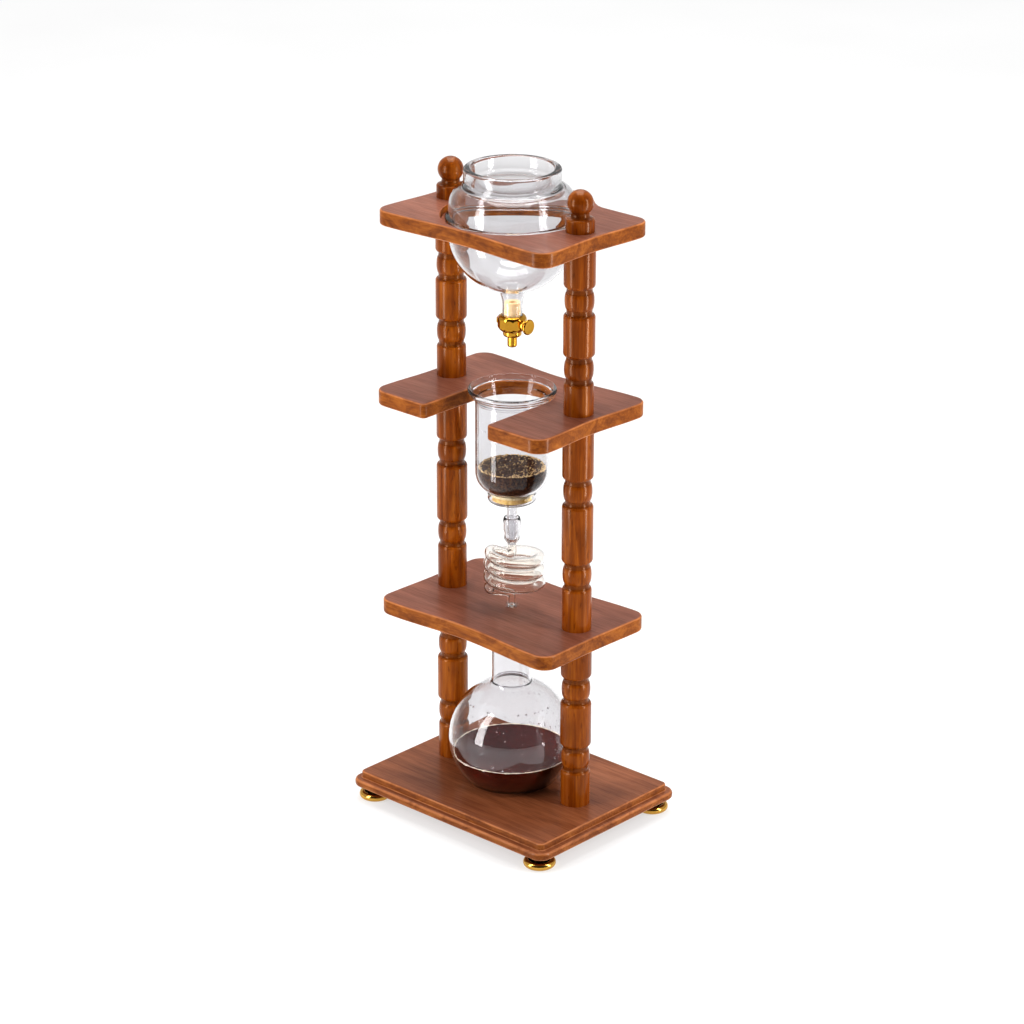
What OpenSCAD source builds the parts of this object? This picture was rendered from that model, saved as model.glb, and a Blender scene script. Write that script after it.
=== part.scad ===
// Cold drip coffee tower: wood stand, water globe with tap, coffee chamber,
// glass coil and flask. Millimetres, +Z up, origin on the floor at the centre.
// -Y is the open front of the stand, +X is the side of the tap's knob.

/* [Base board] */
// Width of the base at its widest moulding
base_w = 239; // [220:1:260]
// Depth of the base at its widest moulding
base_d = 186; // [172:1:200]
// Thickness of the base board
base_t = 14.5; // [14:0.5:22]
// Corner radius of the base in plan
base_corner_r = 12; // [11:0.5:20]
// How far the upper band sits inside the lower one
base_step = 6.5; // [4:0.5:8]
// Height of the lower band with its rounded edges
base_band_h = 8; // [7.5:0.5:10]

/* [Feet] */
// Diameter of a brass foot
foot_d = 29.4; // [22:0.2:30]
// Height of a foot
foot_h = 12; // [9:0.5:16]
// Distance from the base's side edge to a foot's centre
foot_inset_x = 17; // [16:0.5:40]
// Distance from the base's front and back edges to a foot's centre
foot_inset_y = 16; // [15.5:0.5:35]

/* [Shelves] */
// Width of the lower shelf
lower_w = 206; // [190:1:220]
// Width of the middle shelf
middle_w = 200; // [190:1:220]
// Width of the top shelf
top_w = 200; // [190:1:220]
// Thickness of a shelf
shelf_t = 14; // [10:0.5:18]
// Corner radius of a shelf in plan
shelf_corner_r = 14; // [8:0.5:18]
// Height of the small round-over step along the shelf edges
edge_step = 1.5; // [0.5:0.1:3]
// Front reach of the lower shelf from the line of the posts
lower_front = 71; // [64:0.5:80]
// Back reach of the lower shelf
lower_back = 66.5; // [60:0.5:80]
// Hollow of the lower shelf's long sides
lower_hollow = 5.5; // [0:0.5:10]
// Front reach of the middle shelf
middle_front = 77; // [66:0.5:85]
// Back reach of the middle shelf
middle_back = 67.5; // [60:0.5:80]
// Hollow of the middle shelf's back side
middle_hollow = 6.5; // [0:0.5:10]
// Hollow of the middle and top shelves' short sides
side_hollow = 3; // [0:0.5:6]
// Front reach of the top shelf
top_front = 73; // [71.5:0.5:85]
// Back reach of the top shelf at its corners
top_back = 66.5; // [60:0.5:80]
// Hollow of the top shelf's front side
top_hollow = 4.5; // [0:0.5:5]
// Rounded bulge of the top shelf's back, past its corners
top_bulge = 25; // [15:0.5:40]
// Share of the back side's length that the bulge takes
bulge_share = 0.52; // [0.45:0.01:0.8]
// Radius of the arms' rounded corners at the notch's mouth
notch_lip_r = 5; // [3:0.5:8]

/* [Posts] */
// Height of the stand, from the floor to the upper face of the top shelf
stand_h = 566; // [563:0.5:585]
// Distance between the two posts
post_spacing = 152; // [150:1:160]
// Clear height between the base and the lower shelf
lower_gap = 157.5; // [157:0.5:175]
// Clear height between the lower and middle shelves
middle_gap = 189; // [187:0.5:200]
// Diameter of the plain drum at a post's top end
drum_d = 27.8; // [22:0.2:28]
// Diameter of the long middle drum
long_drum_d = 28; // [22:0.2:28]
// Diameter of the plain drum at a post's bottom end
foot_drum_d = 26.4; // [22:0.2:28]
// Diameter of a turned bead
bead_d = 26; // [22:0.2:28]
// Height of a turned bead
bead_h = 15.5; // [12:0.5:18]
// Diameter at the grooves between drums and beads
groove_d = 22.4; // [18:0.2:24]
// Height of one groove
groove_h = 4.6; // [3:0.1:6]
// Height of the lower posts' bottom drum
lower_foot_drum_h = 33; // [26:0.5:38]
// Height of the middle posts' bottom drum
middle_foot_drum_h = 39.5; // [30:0.5:44]
// Height of the upper posts' bottom drum
upper_foot_drum_h = 28.5; // [22:0.5:32]
// Height of the lower posts' long drum
lower_long_drum_h = 42.5; // [36:0.5:48]
// Height of the middle posts' long drum
middle_long_drum_h = 54; // [44:0.5:60]
// Height of the upper posts' long drum
upper_long_drum_h = 37.5; // [30:0.5:42]

/* [Finials] */
// Diameter of the finial's neck drum
finial_neck_d = 25.4; // [20:0.2:27]
// Height of the finial's neck drum
finial_neck_h = 12; // [10:0.5:18]
// Diameter of the finial's ball
finial_ball_d = 23; // [18:0.2:26]
// Height of the ball's centre over the top shelf
finial_ball_z = 25; // [21:0.5:34]
// Diameter of the waist under the ball
finial_waist_d = 16; // [13:0.2:17.6]

/* [Studs and screws] */
// Diameter of the studs that join posts and shelves
stud_d = 6; // [4:0.5:8]
// How deep a stud goes into each post
stud_depth = 14; // [8:0.5:20]
// Diameter of a base screw's sunk head
base_screw_head_d = 12; // [10:0.5:16]
// Height of a base screw's head
base_screw_head_h = 4; // [3:0.2:5]
// Diameter of a foot screw's shank
foot_screw_d = 4; // [3:0.2:5]
// Diameter of a foot screw's head
foot_screw_head_d = 8; // [6.5:0.2:10]
// Height of a foot screw's head
foot_screw_head_h = 2.2; // [1.6:0.1:3]
// Depth of every screw head under the face that it is sunk into
head_sink = 0.6; // [0.2:0.1:1]

/* [Water globe] */
// Diameter of the globe's round bulb
globe_d = 112.6; // [96:0.2:114]
// Wall thickness of the globe
globe_wall = 2.2; // [1.5:0.1:3]
// Outer diameter of the wide mouth
mouth_d = 85.6; // [70:0.2:92]
// Height of the wide mouth's band
mouth_h = 16; // [10:0.5:24]
// Thickness of the heavy glass rim
mouth_wall = 7; // [5:0.2:9]
// Height of the mouth's rim over the seat
rim_z = 48; // [44:0.2:60]
// Depth of the bulb's centre under the seat
bulb_drop = 7.7; // [5:0.1:12]
// Outer diameter of the short outlet neck
outlet_d = 18; // [16:0.2:22]
// Depth of the outlet neck's end under the seat
outlet_drop = 86.6; // [82:0.2:92]
// How far the seat bead stands out from the bulb
seat_bead = 2.5; // [1.5:0.1:2.8]
// Depth of the recess in the top shelf that takes the seat bead
seat_recess = 6; // [4:0.5:9]

/* [Tap] */
// Width of the tap's twelve-sided body across its corners
tap_body_d = 25.8; // [22:0.2:28]
// Height of the body's facets
tap_facet_h = 8; // [7.4:0.1:12]
// How far the body's cup reaches up round the globe's neck
tap_cup_h = 1.2; // [0.5:0.1:2]
// Height of the sloped underside
tap_under_h = 3.2; // [2:0.1:4]
// Diameter of the round flange under the body
tap_flange_d = 16.6; // [14:0.2:20]
// Height of the flange
tap_flange_h = 5.2; // [4:0.1:7]
// Diameter of the nozzle
nozzle_d = 8.6; // [7:0.1:10]
// Length of the nozzle
nozzle_l = 9.7; // [6:0.1:10.5]
// Diameter of the bore through the tap
tap_bore_d = 3; // [2:0.1:3.4]
// Diameter of the turning spindle
spindle_d = 6; // [5:0.1:6.4]
// Diameter of the round knob
knob_d = 14; // [11:0.2:18]
// Thickness of the knob
knob_t = 2.6; // [2:0.1:4]
// Distance from the tap's axis to the knob's outer face
knob_reach = 20.4; // [19:0.2:24]
// Diameter of the key's shoulder between the body and the knob
key_shoulder_d = 8.4; // [7:0.2:9]

/* [Coffee chamber] */
// Outer diameter of the chamber's body
chamber_d = 65.6; // [56:0.2:68]
// Wall thickness of the chamber
chamber_wall = 1.9; // [1.4:0.1:2.6]
// Outer diameter of the flared rim
chamber_rim_d = 79; // [77.6:0.2:84]
// Height of the rim over the shelf
chamber_rim_h = 6; // [4:0.2:9]
// Depth of the body's straight wall under the shelf top
chamber_wall_l = 72.5; // [66:0.5:76]
// Outer diameter of the base ring
chamber_ring_d = 44; // [40:0.2:48]
// Radius of the round turn from the wall to the base ring
chamber_turn_r = 20.8; // [19:0.2:22]
// Height of the base ring
chamber_ring_h = 10.4; // [8:0.2:16]
// Outer diameter of the drip stem
stem_d = 9.6; // [8:0.2:10]
// Width of the U notch at the round seat
notch_w = 74; // [72:0.2:75]
// Extra width of the notch at its open mouth
notch_flare = 0; // [0:0.5:12]
// Depth of the coffee bed over the base ring
coffee_bed_h = 22.5; // [10:0.5:40]
// Thickness of the filter disc
filter_t = 3; // [2:0.2:6]

/* [Glass coil] */
// Outer diameter of the coiled tube
coil_tube_d = 11; // [8:0.1:11]
// Diameter of the circle that the tube's centreline follows
coil_d = 45; // [40:0.5:50]
// Distance between turns
coil_pitch = 11.6; // [11.6:0.1:12.5]
// Number of full turns
coil_turns = 3; // [2:1:3]
// Height of the first turn over the lower shelf
coil_start_z = 53; // [52:0.5:54]
// How far the turns sit off the spout's axis
coil_shift = 2.4; // [0:0.1:3]
// Direction in which the turns sit off the spout's axis, seen from above
coil_shift_a = 42; // [0:1:359]
// Direction of the first turn's start, seen from above
coil_start_a = 222; // [0:1:359]
// Outer diameter of the tube where it joins the socket
inlet_d = 8; // [7:0.1:9]
// Outer diameter of the spout
spout_d = 7; // [6:0.1:8]
// Wall thickness of the tube
coil_wall = 1.3; // [1:0.1:1.6]
// Height of the socket's foot over the lower shelf
socket_z = 60.5; // [60:0.5:66]
// Height of the socket
socket_h = 25.5; // [22:0.5:27]
// Outer diameter of the socket's bulge
socket_d = 16; // [15.6:0.2:20]
// Diameter of the collar that rests on the lower shelf
collar_d = 12.6; // [11.4:0.2:16]
// Length of the spout under the lower shelf
spout_drop = 5; // [3:0.5:6]

/* [Flask] */
// Diameter of the flask's round body
flask_d = 114.8; // [100:0.2:116]
// Height of the body's centre over the base
flask_centre_z = 42.5; // [38:0.5:46]
// Wall thickness of the flask
flask_wall = 2; // [1.5:0.1:3]
// Outer diameter of the neck
flask_neck_d = 36.6; // [30:0.2:40]
// Height of the flask
flask_h = 150; // [140:0.5:151]
// Height of the coffee's surface over the base
coffee_level = 29.8; // [10:0.2:60]

/* [Fits] */
// Clearance around a stud or screw in its hole
stud_clear = 0.15; // [0.05:0.05:0.3]
// Clearance between loose pieces
loose_clear = 0.3; // [0.2:0.05:0.5]
// Running clearance of the spindle in its bore
run_clear = 0.05; // [0.02:0.01:0.1]
// Room between the globe's bulb and the hole in the top shelf
globe_clear = 0.7; // [0.5:0.1:1.5]
// Room between the globe's seat bead and the wall of its recess
recess_clear = 4.2; // [1:0.1:5]
// Forward offset of all the glass from the line of the posts
glass_forward = 2.5; // [0:0.5:3]

/* [Hidden] */

// Heights of the boards over the floor
base_top = foot_h + base_t;
lower_z = base_top + lower_gap;
lower_top = lower_z + shelf_t;
middle_z = lower_top + middle_gap;
middle_top = middle_z + shelf_t;
top_top = stand_h;
top_z = top_top - shelf_t;
upper_gap = top_z - middle_top;
foot_drum_h = [lower_foot_drum_h, middle_foot_drum_h, upper_foot_drum_h];
long_drum_h = [lower_long_drum_h, middle_long_drum_h, upper_long_drum_h];

// Joints of the stand
post_x = post_spacing / 2;
foot_x = base_w / 2 - foot_inset_x;
foot_y = base_d / 2 - foot_inset_y;
stud_hole_d = stud_d + 2 * stud_clear;
stud_end_room = 1;
foot_hole_d = foot_screw_d + 2 * stud_clear;
foot_screw_bite = 11;
screw_slot_w = 1.2;
screw_slot_t = 1.4;
shoulder_r = 1.8;
groove_lip = 0.6;
edge_inset = edge_step * 0.6;
base_band_r = 3.2;
base_edge_r = 1.8;
foot_rim = foot_h * 0.6;
foot_stem_r = foot_d * 0.22;

// Globe: the seat bead rests on the ledge of the top shelf's recess
seat_z = top_top - seat_recess;
globe_r = globe_d / 2;
globe_hole_r = globe_r + globe_clear;
bead_r = globe_r + seat_bead;
recess_r = bead_r + recess_clear;
mouth_r = mouth_d / 2;
outlet_r = outlet_d / 2;
outlet_z = seat_z - outlet_drop;
bulb_z = seat_z - bulb_drop;
rim_top = seat_z + rim_z;
rim_round_r = 2.2;
bead_round_r = 2.4;
globe_side_h = 12;
neck_flare = 4;
neck_wall = 1.8;

// Tap, downwards from the outlet neck; its body's cup stands round the neck's end
stopper_lip_h = 0.9;
stopper_l = 13;
seal_h = 0.8;
cup_wall = 0.9;
corner_over = 0.3;
cup_r = outlet_r + loose_clear;
cup_top = outlet_z + tap_cup_h;
cup_floor = outlet_z - stopper_lip_h - seal_h;
facet_top = cup_floor - 0.7;
facet_bottom = facet_top - tap_facet_h;
under_bottom = facet_bottom - tap_under_h;
flange_bottom = under_bottom - tap_flange_h;
nozzle_tip = flange_bottom - nozzle_l;
nozzle_round_r = 2;
spindle_z = (facet_top + facet_bottom) / 2;
spindle_hole_d = spindle_d + 2 * run_clear;
facet_r = tap_body_d / 2 * cos(15);
key_neck_l = 2.4;
nut_d = spindle_d + 3;
nut_t = 2.4;

// Chamber: its flared rim rests on the middle shelf round the notch
chamber_r = chamber_d / 2;
notch_r = notch_w / 2;
rim_r = chamber_rim_d / 2;
ring_r = chamber_ring_d / 2;
wall_z = middle_top - chamber_wall_l;
turn_x = chamber_r - chamber_turn_r;
ring_step = 0.6;
turn_end_a = -acos((ring_r + ring_step - turn_x) / chamber_turn_r);
ring_top = wall_z + chamber_turn_r * sin(turn_end_a);
ring_z = ring_top - chamber_ring_h;
chamber_floor = ring_z + chamber_wall;
stem_r = stem_d / 2;
stem_tip_r = 2.3;
stem_wall = 1.6;
stem_taper_l = 12;
ring_corner_r = 4;
rim_corner_r = 2;
holder_t = 1.4;
bed_z = ring_top + loose_clear / 2;
bed_a = -asin((wall_z - bed_z - 1) / (chamber_turn_r - chamber_wall - loose_clear));
bed_top = bed_z + coffee_bed_h;

// Coil: everything hangs from the collar on the lower shelf
coil_r = coil_d / 2;
coil_z = lower_top;
collar_t = 1.5;
coil_end_a = coil_start_a + 360 * coil_turns;
inlet_z = coil_z + socket_z;
socket_top = inlet_z + socket_h;
helix_z = coil_z + coil_start_z;
helix_end_z = helix_z - coil_pitch * coil_turns;
spout_tip = lower_z - spout_drop;
stem_tip = inlet_z + 3.5;
socket_wall = 1.5;
rings_per_turn = 24;
rings_per_bend = 12;
tube_sides = 8;

// Length of the guides that shape the bends, and of the tube's changes in width, in rings
inlet_guide = 6;
spout_guide = 9;
bend_guide = 14;
inlet_blend = 7;
spout_blend = 9;
blend_lead = 3;

// Flask stands on the base
flask_r = flask_d / 2;
neck_r = flask_neck_d / 2;
flask_z = base_top;
body_z = flask_z + flask_centre_z;
flask_foot_r = sqrt(flask_r * flask_r - flask_centre_z * flask_centre_z);
flask_in_r = flask_r - flask_wall;
lip_z = flask_z + flask_h;
lip_round_r = 2.2;

round_fn = 96;

// ---- points that follow a rule ----

// Arc in the profile plane: centre, radius, from angle a0 to a1, in n steps
function arc(c, r, a0, a1, n) =
  [for (i = [0:n]) let (a = a0 + (a1 - a0) * i / n) c + r * [cos(a), sin(a)]];

// Smooth swell from 0 at both ends of -h..h to 1 in the middle
function swell(x, h) = abs(x) >= h ? 0 : pow(cos(90 * x / h), 2);

// Shelf outline, counter-clockwise: four corner arcs joined by gently curved sides
function shelf_outline(width, front, back, front_in, back_out, side_in, inset) =
  let (w = width / 2 - inset, r = shelf_corner_r - inset,
       f = front - inset, b = back - inset, n = 20,
       run = w - r, mid = (b - f) / 2, half = (f + b) / 2 - r)
  concat(
    [for (i = [1:n - 1]) let (x = -run + 2 * run * i / n)
      [x, -f + front_in * swell(x, run)]],
    arc([run, r - f], r, -90, 0, 6),
    [for (i = [1:n - 1]) let (y = mid - half + 2 * half * i / n)
      [w - side_in * swell(y - mid, half), y]],
    arc([run, b - r], r, 0, 90, 6),
    [for (i = [1:n - 1]) let (x = run - 2 * run * i / n)
      [x, b + back_out * swell(x, back_out > 0 ? run * bulge_share : run)]],
    arc([-run, b - r], r, 90, 180, 6),
    [for (i = [1:n - 1]) let (y = mid + half - 2 * half * i / n)
      [-w + side_in * swell(y - mid, half), y]],
    arc([-run, r - f], r, 180, 270, 6));

// Cubic curve between two points with two guides
function bezier(a, b, c, d, t) =
  a * pow(1 - t, 3) + b * 3 * t * pow(1 - t, 2) + c * 3 * t * t * (1 - t) + d * pow(t, 3);

// Centreline of the coil: straight in, bend out, helix down, bend in, straight out
function helix_point(a) =
  [coil_shift * cos(coil_shift_a) + coil_r * cos(a),
   coil_shift * sin(coil_shift_a) + coil_r * sin(a),
   helix_z - coil_pitch * (a - coil_start_a) / 360];
function helix_way(a) =
  let (v = [-sin(a), cos(a), -coil_pitch / (2 * PI * coil_r)]) v / norm(v);
inlet_bend_z = inlet_z - inlet_d;
spout_bend_z = coil_z + collar_t + spout_d;
coil_path = concat(
  [[0, 0, inlet_z]],
  [for (i = [0:rings_per_bend - 1]) bezier(
    [0, 0, inlet_bend_z], [0, 0, inlet_bend_z - inlet_guide],
    helix_point(coil_start_a) - bend_guide * helix_way(coil_start_a),
    helix_point(coil_start_a), i / rings_per_bend)],
  [for (i = [0:rings_per_turn * coil_turns])
    helix_point(coil_start_a + 360 * i / rings_per_turn)],
  [for (i = [1:rings_per_bend]) bezier(
    helix_point(coil_end_a),
    helix_point(coil_end_a) + bend_guide * helix_way(coil_end_a),
    [0, 0, spout_bend_z + spout_guide], [0, 0, spout_bend_z], i / rings_per_bend)],
  [[0, 0, coil_z + collar_t]]);
path_last = len(coil_path) - 1;
helix_first = 1 + rings_per_bend;
helix_last = helix_first + rings_per_turn * coil_turns;

// Tube radius along the path: slim inlet, full turns, slim spout
function blend01(t) = t <= 0 ? 0 : t >= 1 ? 1 : t * t * (3 - 2 * t);
function tube_r(i) =
  let (open = blend01((i - helix_first + blend_lead) / inlet_blend),
       close = blend01((i - helix_last + blend_lead) / spout_blend))
  (inlet_d + (coil_tube_d - inlet_d) * open + (spout_d - coil_tube_d) * close) / 2;

// Direction of the path at each point, and a frame carried along it without twist
function way(i) =
  let (v = i == 0 || i == path_last ? [0, 0, -1]
         : coil_path[i + 1] - coil_path[i - 1]) v / norm(v);
function carry(u, t) = let (v = u - (u * t) * t) v / norm(v);
side_dirs = [for (i = 0, u = carry([1, 0, 0], way(0)); i <= path_last;
                  i = i + 1, u = carry(u, way(min(i, path_last)))) u];
function ring(i, r) =
  let (u = side_dirs[i], w = cross(way(i), u))
  [for (k = [0:tube_sides - 1]) let (a = 360 * k / tube_sides)
    coil_path[i] + r * (cos(a) * u + sin(a) * w)];
function skin(first, flip) =
  [for (i = [0:path_last - 1]) for (k = [0:tube_sides - 1])
    let (a = first + i * tube_sides + k,
         b = first + i * tube_sides + (k + 1) % tube_sides,
         c = a + tube_sides, d = b + tube_sides)
    each flip ? [[a, b, d], [a, d, c]] : [[a, d, b], [a, c, d]]];
function end_ring(outer, inner, flip) =
  [for (k = [0:tube_sides - 1])
    let (a = outer + k, b = outer + (k + 1) % tube_sides,
         c = inner + k, d = inner + (k + 1) % tube_sides)
    each flip ? [[a, d, b], [a, c, d]] : [[a, b, d], [a, d, c]]];

// Least gap between stretches of tube that lie over three quarters of a turn apart
far_apart = floor(rings_per_turn * 0.75);
coil_gap = min([for (i = [0:path_last - far_apart]) for (j = [i + far_apart:path_last])
  norm(coil_path[i] - coil_path[j]) - tube_r(i) - tube_r(j)]);
echo(least_coil_gap = coil_gap);

// ---- boards ----

// Board with a moulded edge: the profile starts on the line of the corner centres
module moulded_board(w, d, r, t, profile) {
  cx = w / 2 - r;
  cy = d / 2 - r;
  translate([-cx, -cy, 0]) cube([2 * cx, 2 * cy, t]);
  for (k = [0:3])
    translate([(k == 0 || k == 3) ? cx : -cx, k < 2 ? cy : -cy, 0])
      rotate([0, 0, 90 * k]) rotate_extrude(angle = 90, $fn = round_fn) polygon(profile);
  for (s = [0, 180]) rotate([0, 0, s]) {
    translate([cx, cy, 0]) rotate([90, 0, 0]) linear_extrude(2 * cy) polygon(profile);
    translate([-cx, cy, 0]) rotate([90, 0, 90]) linear_extrude(2 * cx) polygon(profile);
  }
}

module base_board() {
  r = base_corner_r;
  br = base_band_r;
  er = base_edge_r;
  inner = r - base_step;
  profile = concat(
    [[0, 0], [r - br, 0]],
    arc([r - br, br], br, -70, 0, 5),
    arc([r - br, base_band_h - br], br, 0, 70, 5),
    [[r - br, base_band_h], [inner + 1, base_band_h], [inner, base_band_h + 1]],
    arc([inner - er, base_t - er], er, 0, 70, 4),
    [[inner - er, base_t], [0, base_t]]);
  color([0.50, 0.24, 0.12]) difference() {
    translate([0, 0, foot_h]) moulded_board(base_w, base_d, r, base_t, profile);
    for (sx = [-1, 1]) translate([sx * post_x, 0, foot_h]) {
      translate([0, 0, -1]) cylinder(d = stud_hole_d, h = base_t + 2, $fn = 48);
      translate([0, 0, -1]) cylinder(d = base_screw_head_d + 2 * stud_clear,
                                     h = head_sink + base_screw_head_h + 1, $fn = 48);
    }
    for (sx = [-1, 1], sy = [-1, 1]) translate([sx * foot_x, sy * foot_y, foot_h - 1])
      cylinder(d = foot_hole_d, h = foot_screw_bite + 1 + stud_end_room, $fn = 32);
  }
}

// Shelf blank with stepped edges, and the stud holes of both posts
module shelf_blank(z, width, front, back, front_in, back_out, side_in) {
  difference() {
    for (layer = [[0, edge_step, edge_inset], [edge_step, shelf_t - edge_step, 0],
                  [shelf_t - edge_step, shelf_t, edge_inset]])
      translate([0, 0, z + layer[0]]) linear_extrude(layer[1] - layer[0])
        polygon(shelf_outline(width, front, back, front_in, back_out, side_in, layer[2]));
    for (sx = [-1, 1]) translate([sx * post_x, 0, z - 1])
      cylinder(d = stud_hole_d, h = shelf_t + 2, $fn = 48);
  }
}

module lower_shelf() {
  color([0.52, 0.25, 0.13]) difference() {
    shelf_blank(lower_z, lower_w, lower_front, lower_back, lower_hollow, -lower_hollow, 1);
    translate([0, -glass_forward, lower_z - 1])
      cylinder(d = spout_d + 2 * loose_clear, h = shelf_t + 2, $fn = 48);
  }
}

module middle_shelf() {
  mouth = notch_w + notch_flare;
  lip_r = notch_lip_r;
  color([0.52, 0.25, 0.13]) difference() {
    shelf_blank(middle_z, middle_w, middle_front, middle_back, 0, -middle_hollow, side_hollow);
    translate([0, -glass_forward, middle_z - 1]) {
      cylinder(r = notch_r, h = shelf_t + 2, $fn = round_fn);
      linear_extrude(shelf_t + 2) difference() {
        polygon([[-notch_r, 0], [-mouth / 2 - lip_r, -middle_front - 1],
                 [mouth / 2 + lip_r, -middle_front - 1], [notch_r, 0]]);
        for (sx = [-1, 1]) notch_lip(sx, mouth / 2, lip_r);
      }
    }
  }
}

// Rounded front corner of one arm of the middle shelf, kept out of the notch
module notch_lip(sx, x, r) {
  y = -(middle_front - glass_forward - r);
  translate([sx * (x + r), y]) circle(r = r, $fn = 48);
  polygon([[sx * (x + 2 * r), y - r - 3], [sx * (x + r), y - r], [sx * x, y],
           [sx * notch_r, 0], [sx * (x + 2 * r), 0]]);
}

module top_shelf() {
  color([0.52, 0.25, 0.13]) difference() {
    shelf_blank(top_z, top_w, top_front, top_back, top_hollow, top_bulge, side_hollow);
    translate([0, -glass_forward, top_z - 1])
      cylinder(r = globe_hole_r, h = shelf_t + 2, $fn = round_fn);
    translate([0, -glass_forward, seat_z])
      cylinder(r = recess_r, h = seat_recess + 1, $fn = round_fn);
  }
}

// ---- feet, posts and their fasteners ----

module foot(x, y) {
  r = foot_d / 2;
  rim = foot_rim;
  color([0.80, 0.60, 0.20]) translate([x, y, 0]) difference() {
    rotate_extrude($fn = round_fn) polygon(concat(
      [[0, 0], [r - rim / 2, 0]],
      arc([r - rim / 2, rim / 2], rim / 2, -75, 75, 8),
      [[r - rim * 0.62, rim * 0.96], [r - rim * 0.8, rim * 0.7], [foot_stem_r + 1.2, rim * 0.55],
       [foot_stem_r, rim * 0.75], [foot_stem_r, foot_h], [0, foot_h]]));
    translate([0, 0, -1]) cylinder(d = foot_hole_d, h = foot_h + 2, $fn = 32);
    translate([0, 0, -1]) cylinder(d = foot_screw_head_d + 2 * stud_clear,
                                   h = 1 + head_sink + foot_screw_head_h, $fn = 32);
  }
}

// Cross slot in a screw's head, cut from below
module cross_slot(reach) {
  for (a = [0, 90]) rotate([0, 0, a])
    translate([-reach, -screw_slot_w / 2, -1]) cube([2 * reach, screw_slot_w, 1 + screw_slot_t]);
}

module foot_screws() {
  color([0.72, 0.72, 0.70])
    for (sx = [-1, 1], sy = [-1, 1])
      translate([sx * foot_x, sy * foot_y, head_sink]) difference() {
        union() {
          cylinder(d = foot_screw_head_d, h = foot_screw_head_h, $fn = 32);
          cylinder(d = foot_screw_d, h = foot_h - head_sink + foot_screw_bite, $fn = 32);
        }
        cross_slot(foot_screw_head_d / 3);
      }
}

// One turned post section of height h with its two stud holes
module post(x, z, level, h) {
  fh = foot_drum_h[level];
  lh = long_drum_h[level];
  z1 = fh + groove_h;
  z2 = z1 + bead_h + groove_h;
  z3 = z2 + lh + groove_h;
  z4 = z3 + bead_h + groove_h;
  rd = drum_d / 2;
  rl = long_drum_d / 2;
  rf = foot_drum_d / 2;
  color([0.58, 0.28, 0.11]) translate([x, 0, z]) difference() {
    rotate_extrude($fn = round_fn) polygon(concat(
      [[0, 0], [rf, 0]], shoulder_out(rf, fh), bead_points(z1),
      shoulder_in(rl, z2), shoulder_out(rl, z2 + lh), bead_points(z3),
      shoulder_in(rd, z4), [[rd, h], [0, h]]));
    translate([0, 0, -1]) cylinder(d = stud_hole_d, h = stud_depth + 1 + stud_end_room, $fn = 48);
    translate([0, 0, h - stud_depth - stud_end_room])
      cylinder(d = stud_hole_d, h = stud_depth + stud_end_room + 1, $fn = 48);
  }
}
// Turned shoulders at a drum's upper and lower ends, and a bead, in the profile plane
function shoulder_out(r, z) =
  concat(arc([r - shoulder_r, z - shoulder_r], shoulder_r, 0, 90, 4),
         [[groove_d / 2 + groove_lip, z + groove_h * 0.1], [groove_d / 2, z + groove_h * 0.4]]);
function shoulder_in(r, z) =
  concat([[groove_d / 2, z - groove_h * 0.4], [groove_d / 2 + groove_lip, z - groove_h * 0.1]],
         arc([r - shoulder_r, z + shoulder_r], shoulder_r, -90, 0, 4));
function bead_points(z) =
  let (lift = bead_d / 2 - groove_d / 2)
  [for (i = [0:10]) let (a = -80 + 16 * i)
    [groove_d / 2 + lift * cos(a), z + bead_h / 2 * (1 + sin(a) / sin(80))]];

module finial(x) {
  rn = finial_neck_d / 2;
  rb = finial_ball_d / 2;
  cove = finial_waist_d / 2;
  a0 = -acos(cove / rb);
  color([0.50, 0.22, 0.09]) translate([x, 0, top_top]) difference() {
    rotate_extrude($fn = round_fn) polygon(concat(
      [[0, 0], [rn, 0]],
      arc([rn - 2, finial_neck_h - 2], 2, 0, 70, 4),
      [[cove + 1.3, finial_neck_h + groove_lip]],
      [for (i = [0:15]) let (a = a0 + (90 - a0) * i / 15)
        [max(0, rb * cos(a)), finial_ball_z + rb * sin(a)]]));
    translate([0, 0, -1]) cylinder(d = stud_hole_d, h = stud_depth + 1 + stud_end_room, $fn = 48);
  }
}

module base_screws() {
  color([0.72, 0.72, 0.70])
    for (sx = [-1, 1]) translate([sx * post_x, 0, foot_h + head_sink]) difference() {
      union() {
        cylinder(d = base_screw_head_d, h = base_screw_head_h, $fn = 48);
        cylinder(d = stud_d, h = base_t - head_sink + stud_depth, $fn = 48);
      }
      cross_slot(base_screw_head_d / 3);
    }
}

// Pair of plain studs through a shelf into the posts on both sides
module studs(z) {
  color([0.72, 0.72, 0.70])
    for (sx = [-1, 1]) translate([sx * post_x, 0, z - stud_depth])
      cylinder(d = stud_d, h = shelf_t + 2 * stud_depth, $fn = 48);
}

// ---- water globe and tap ----

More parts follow.
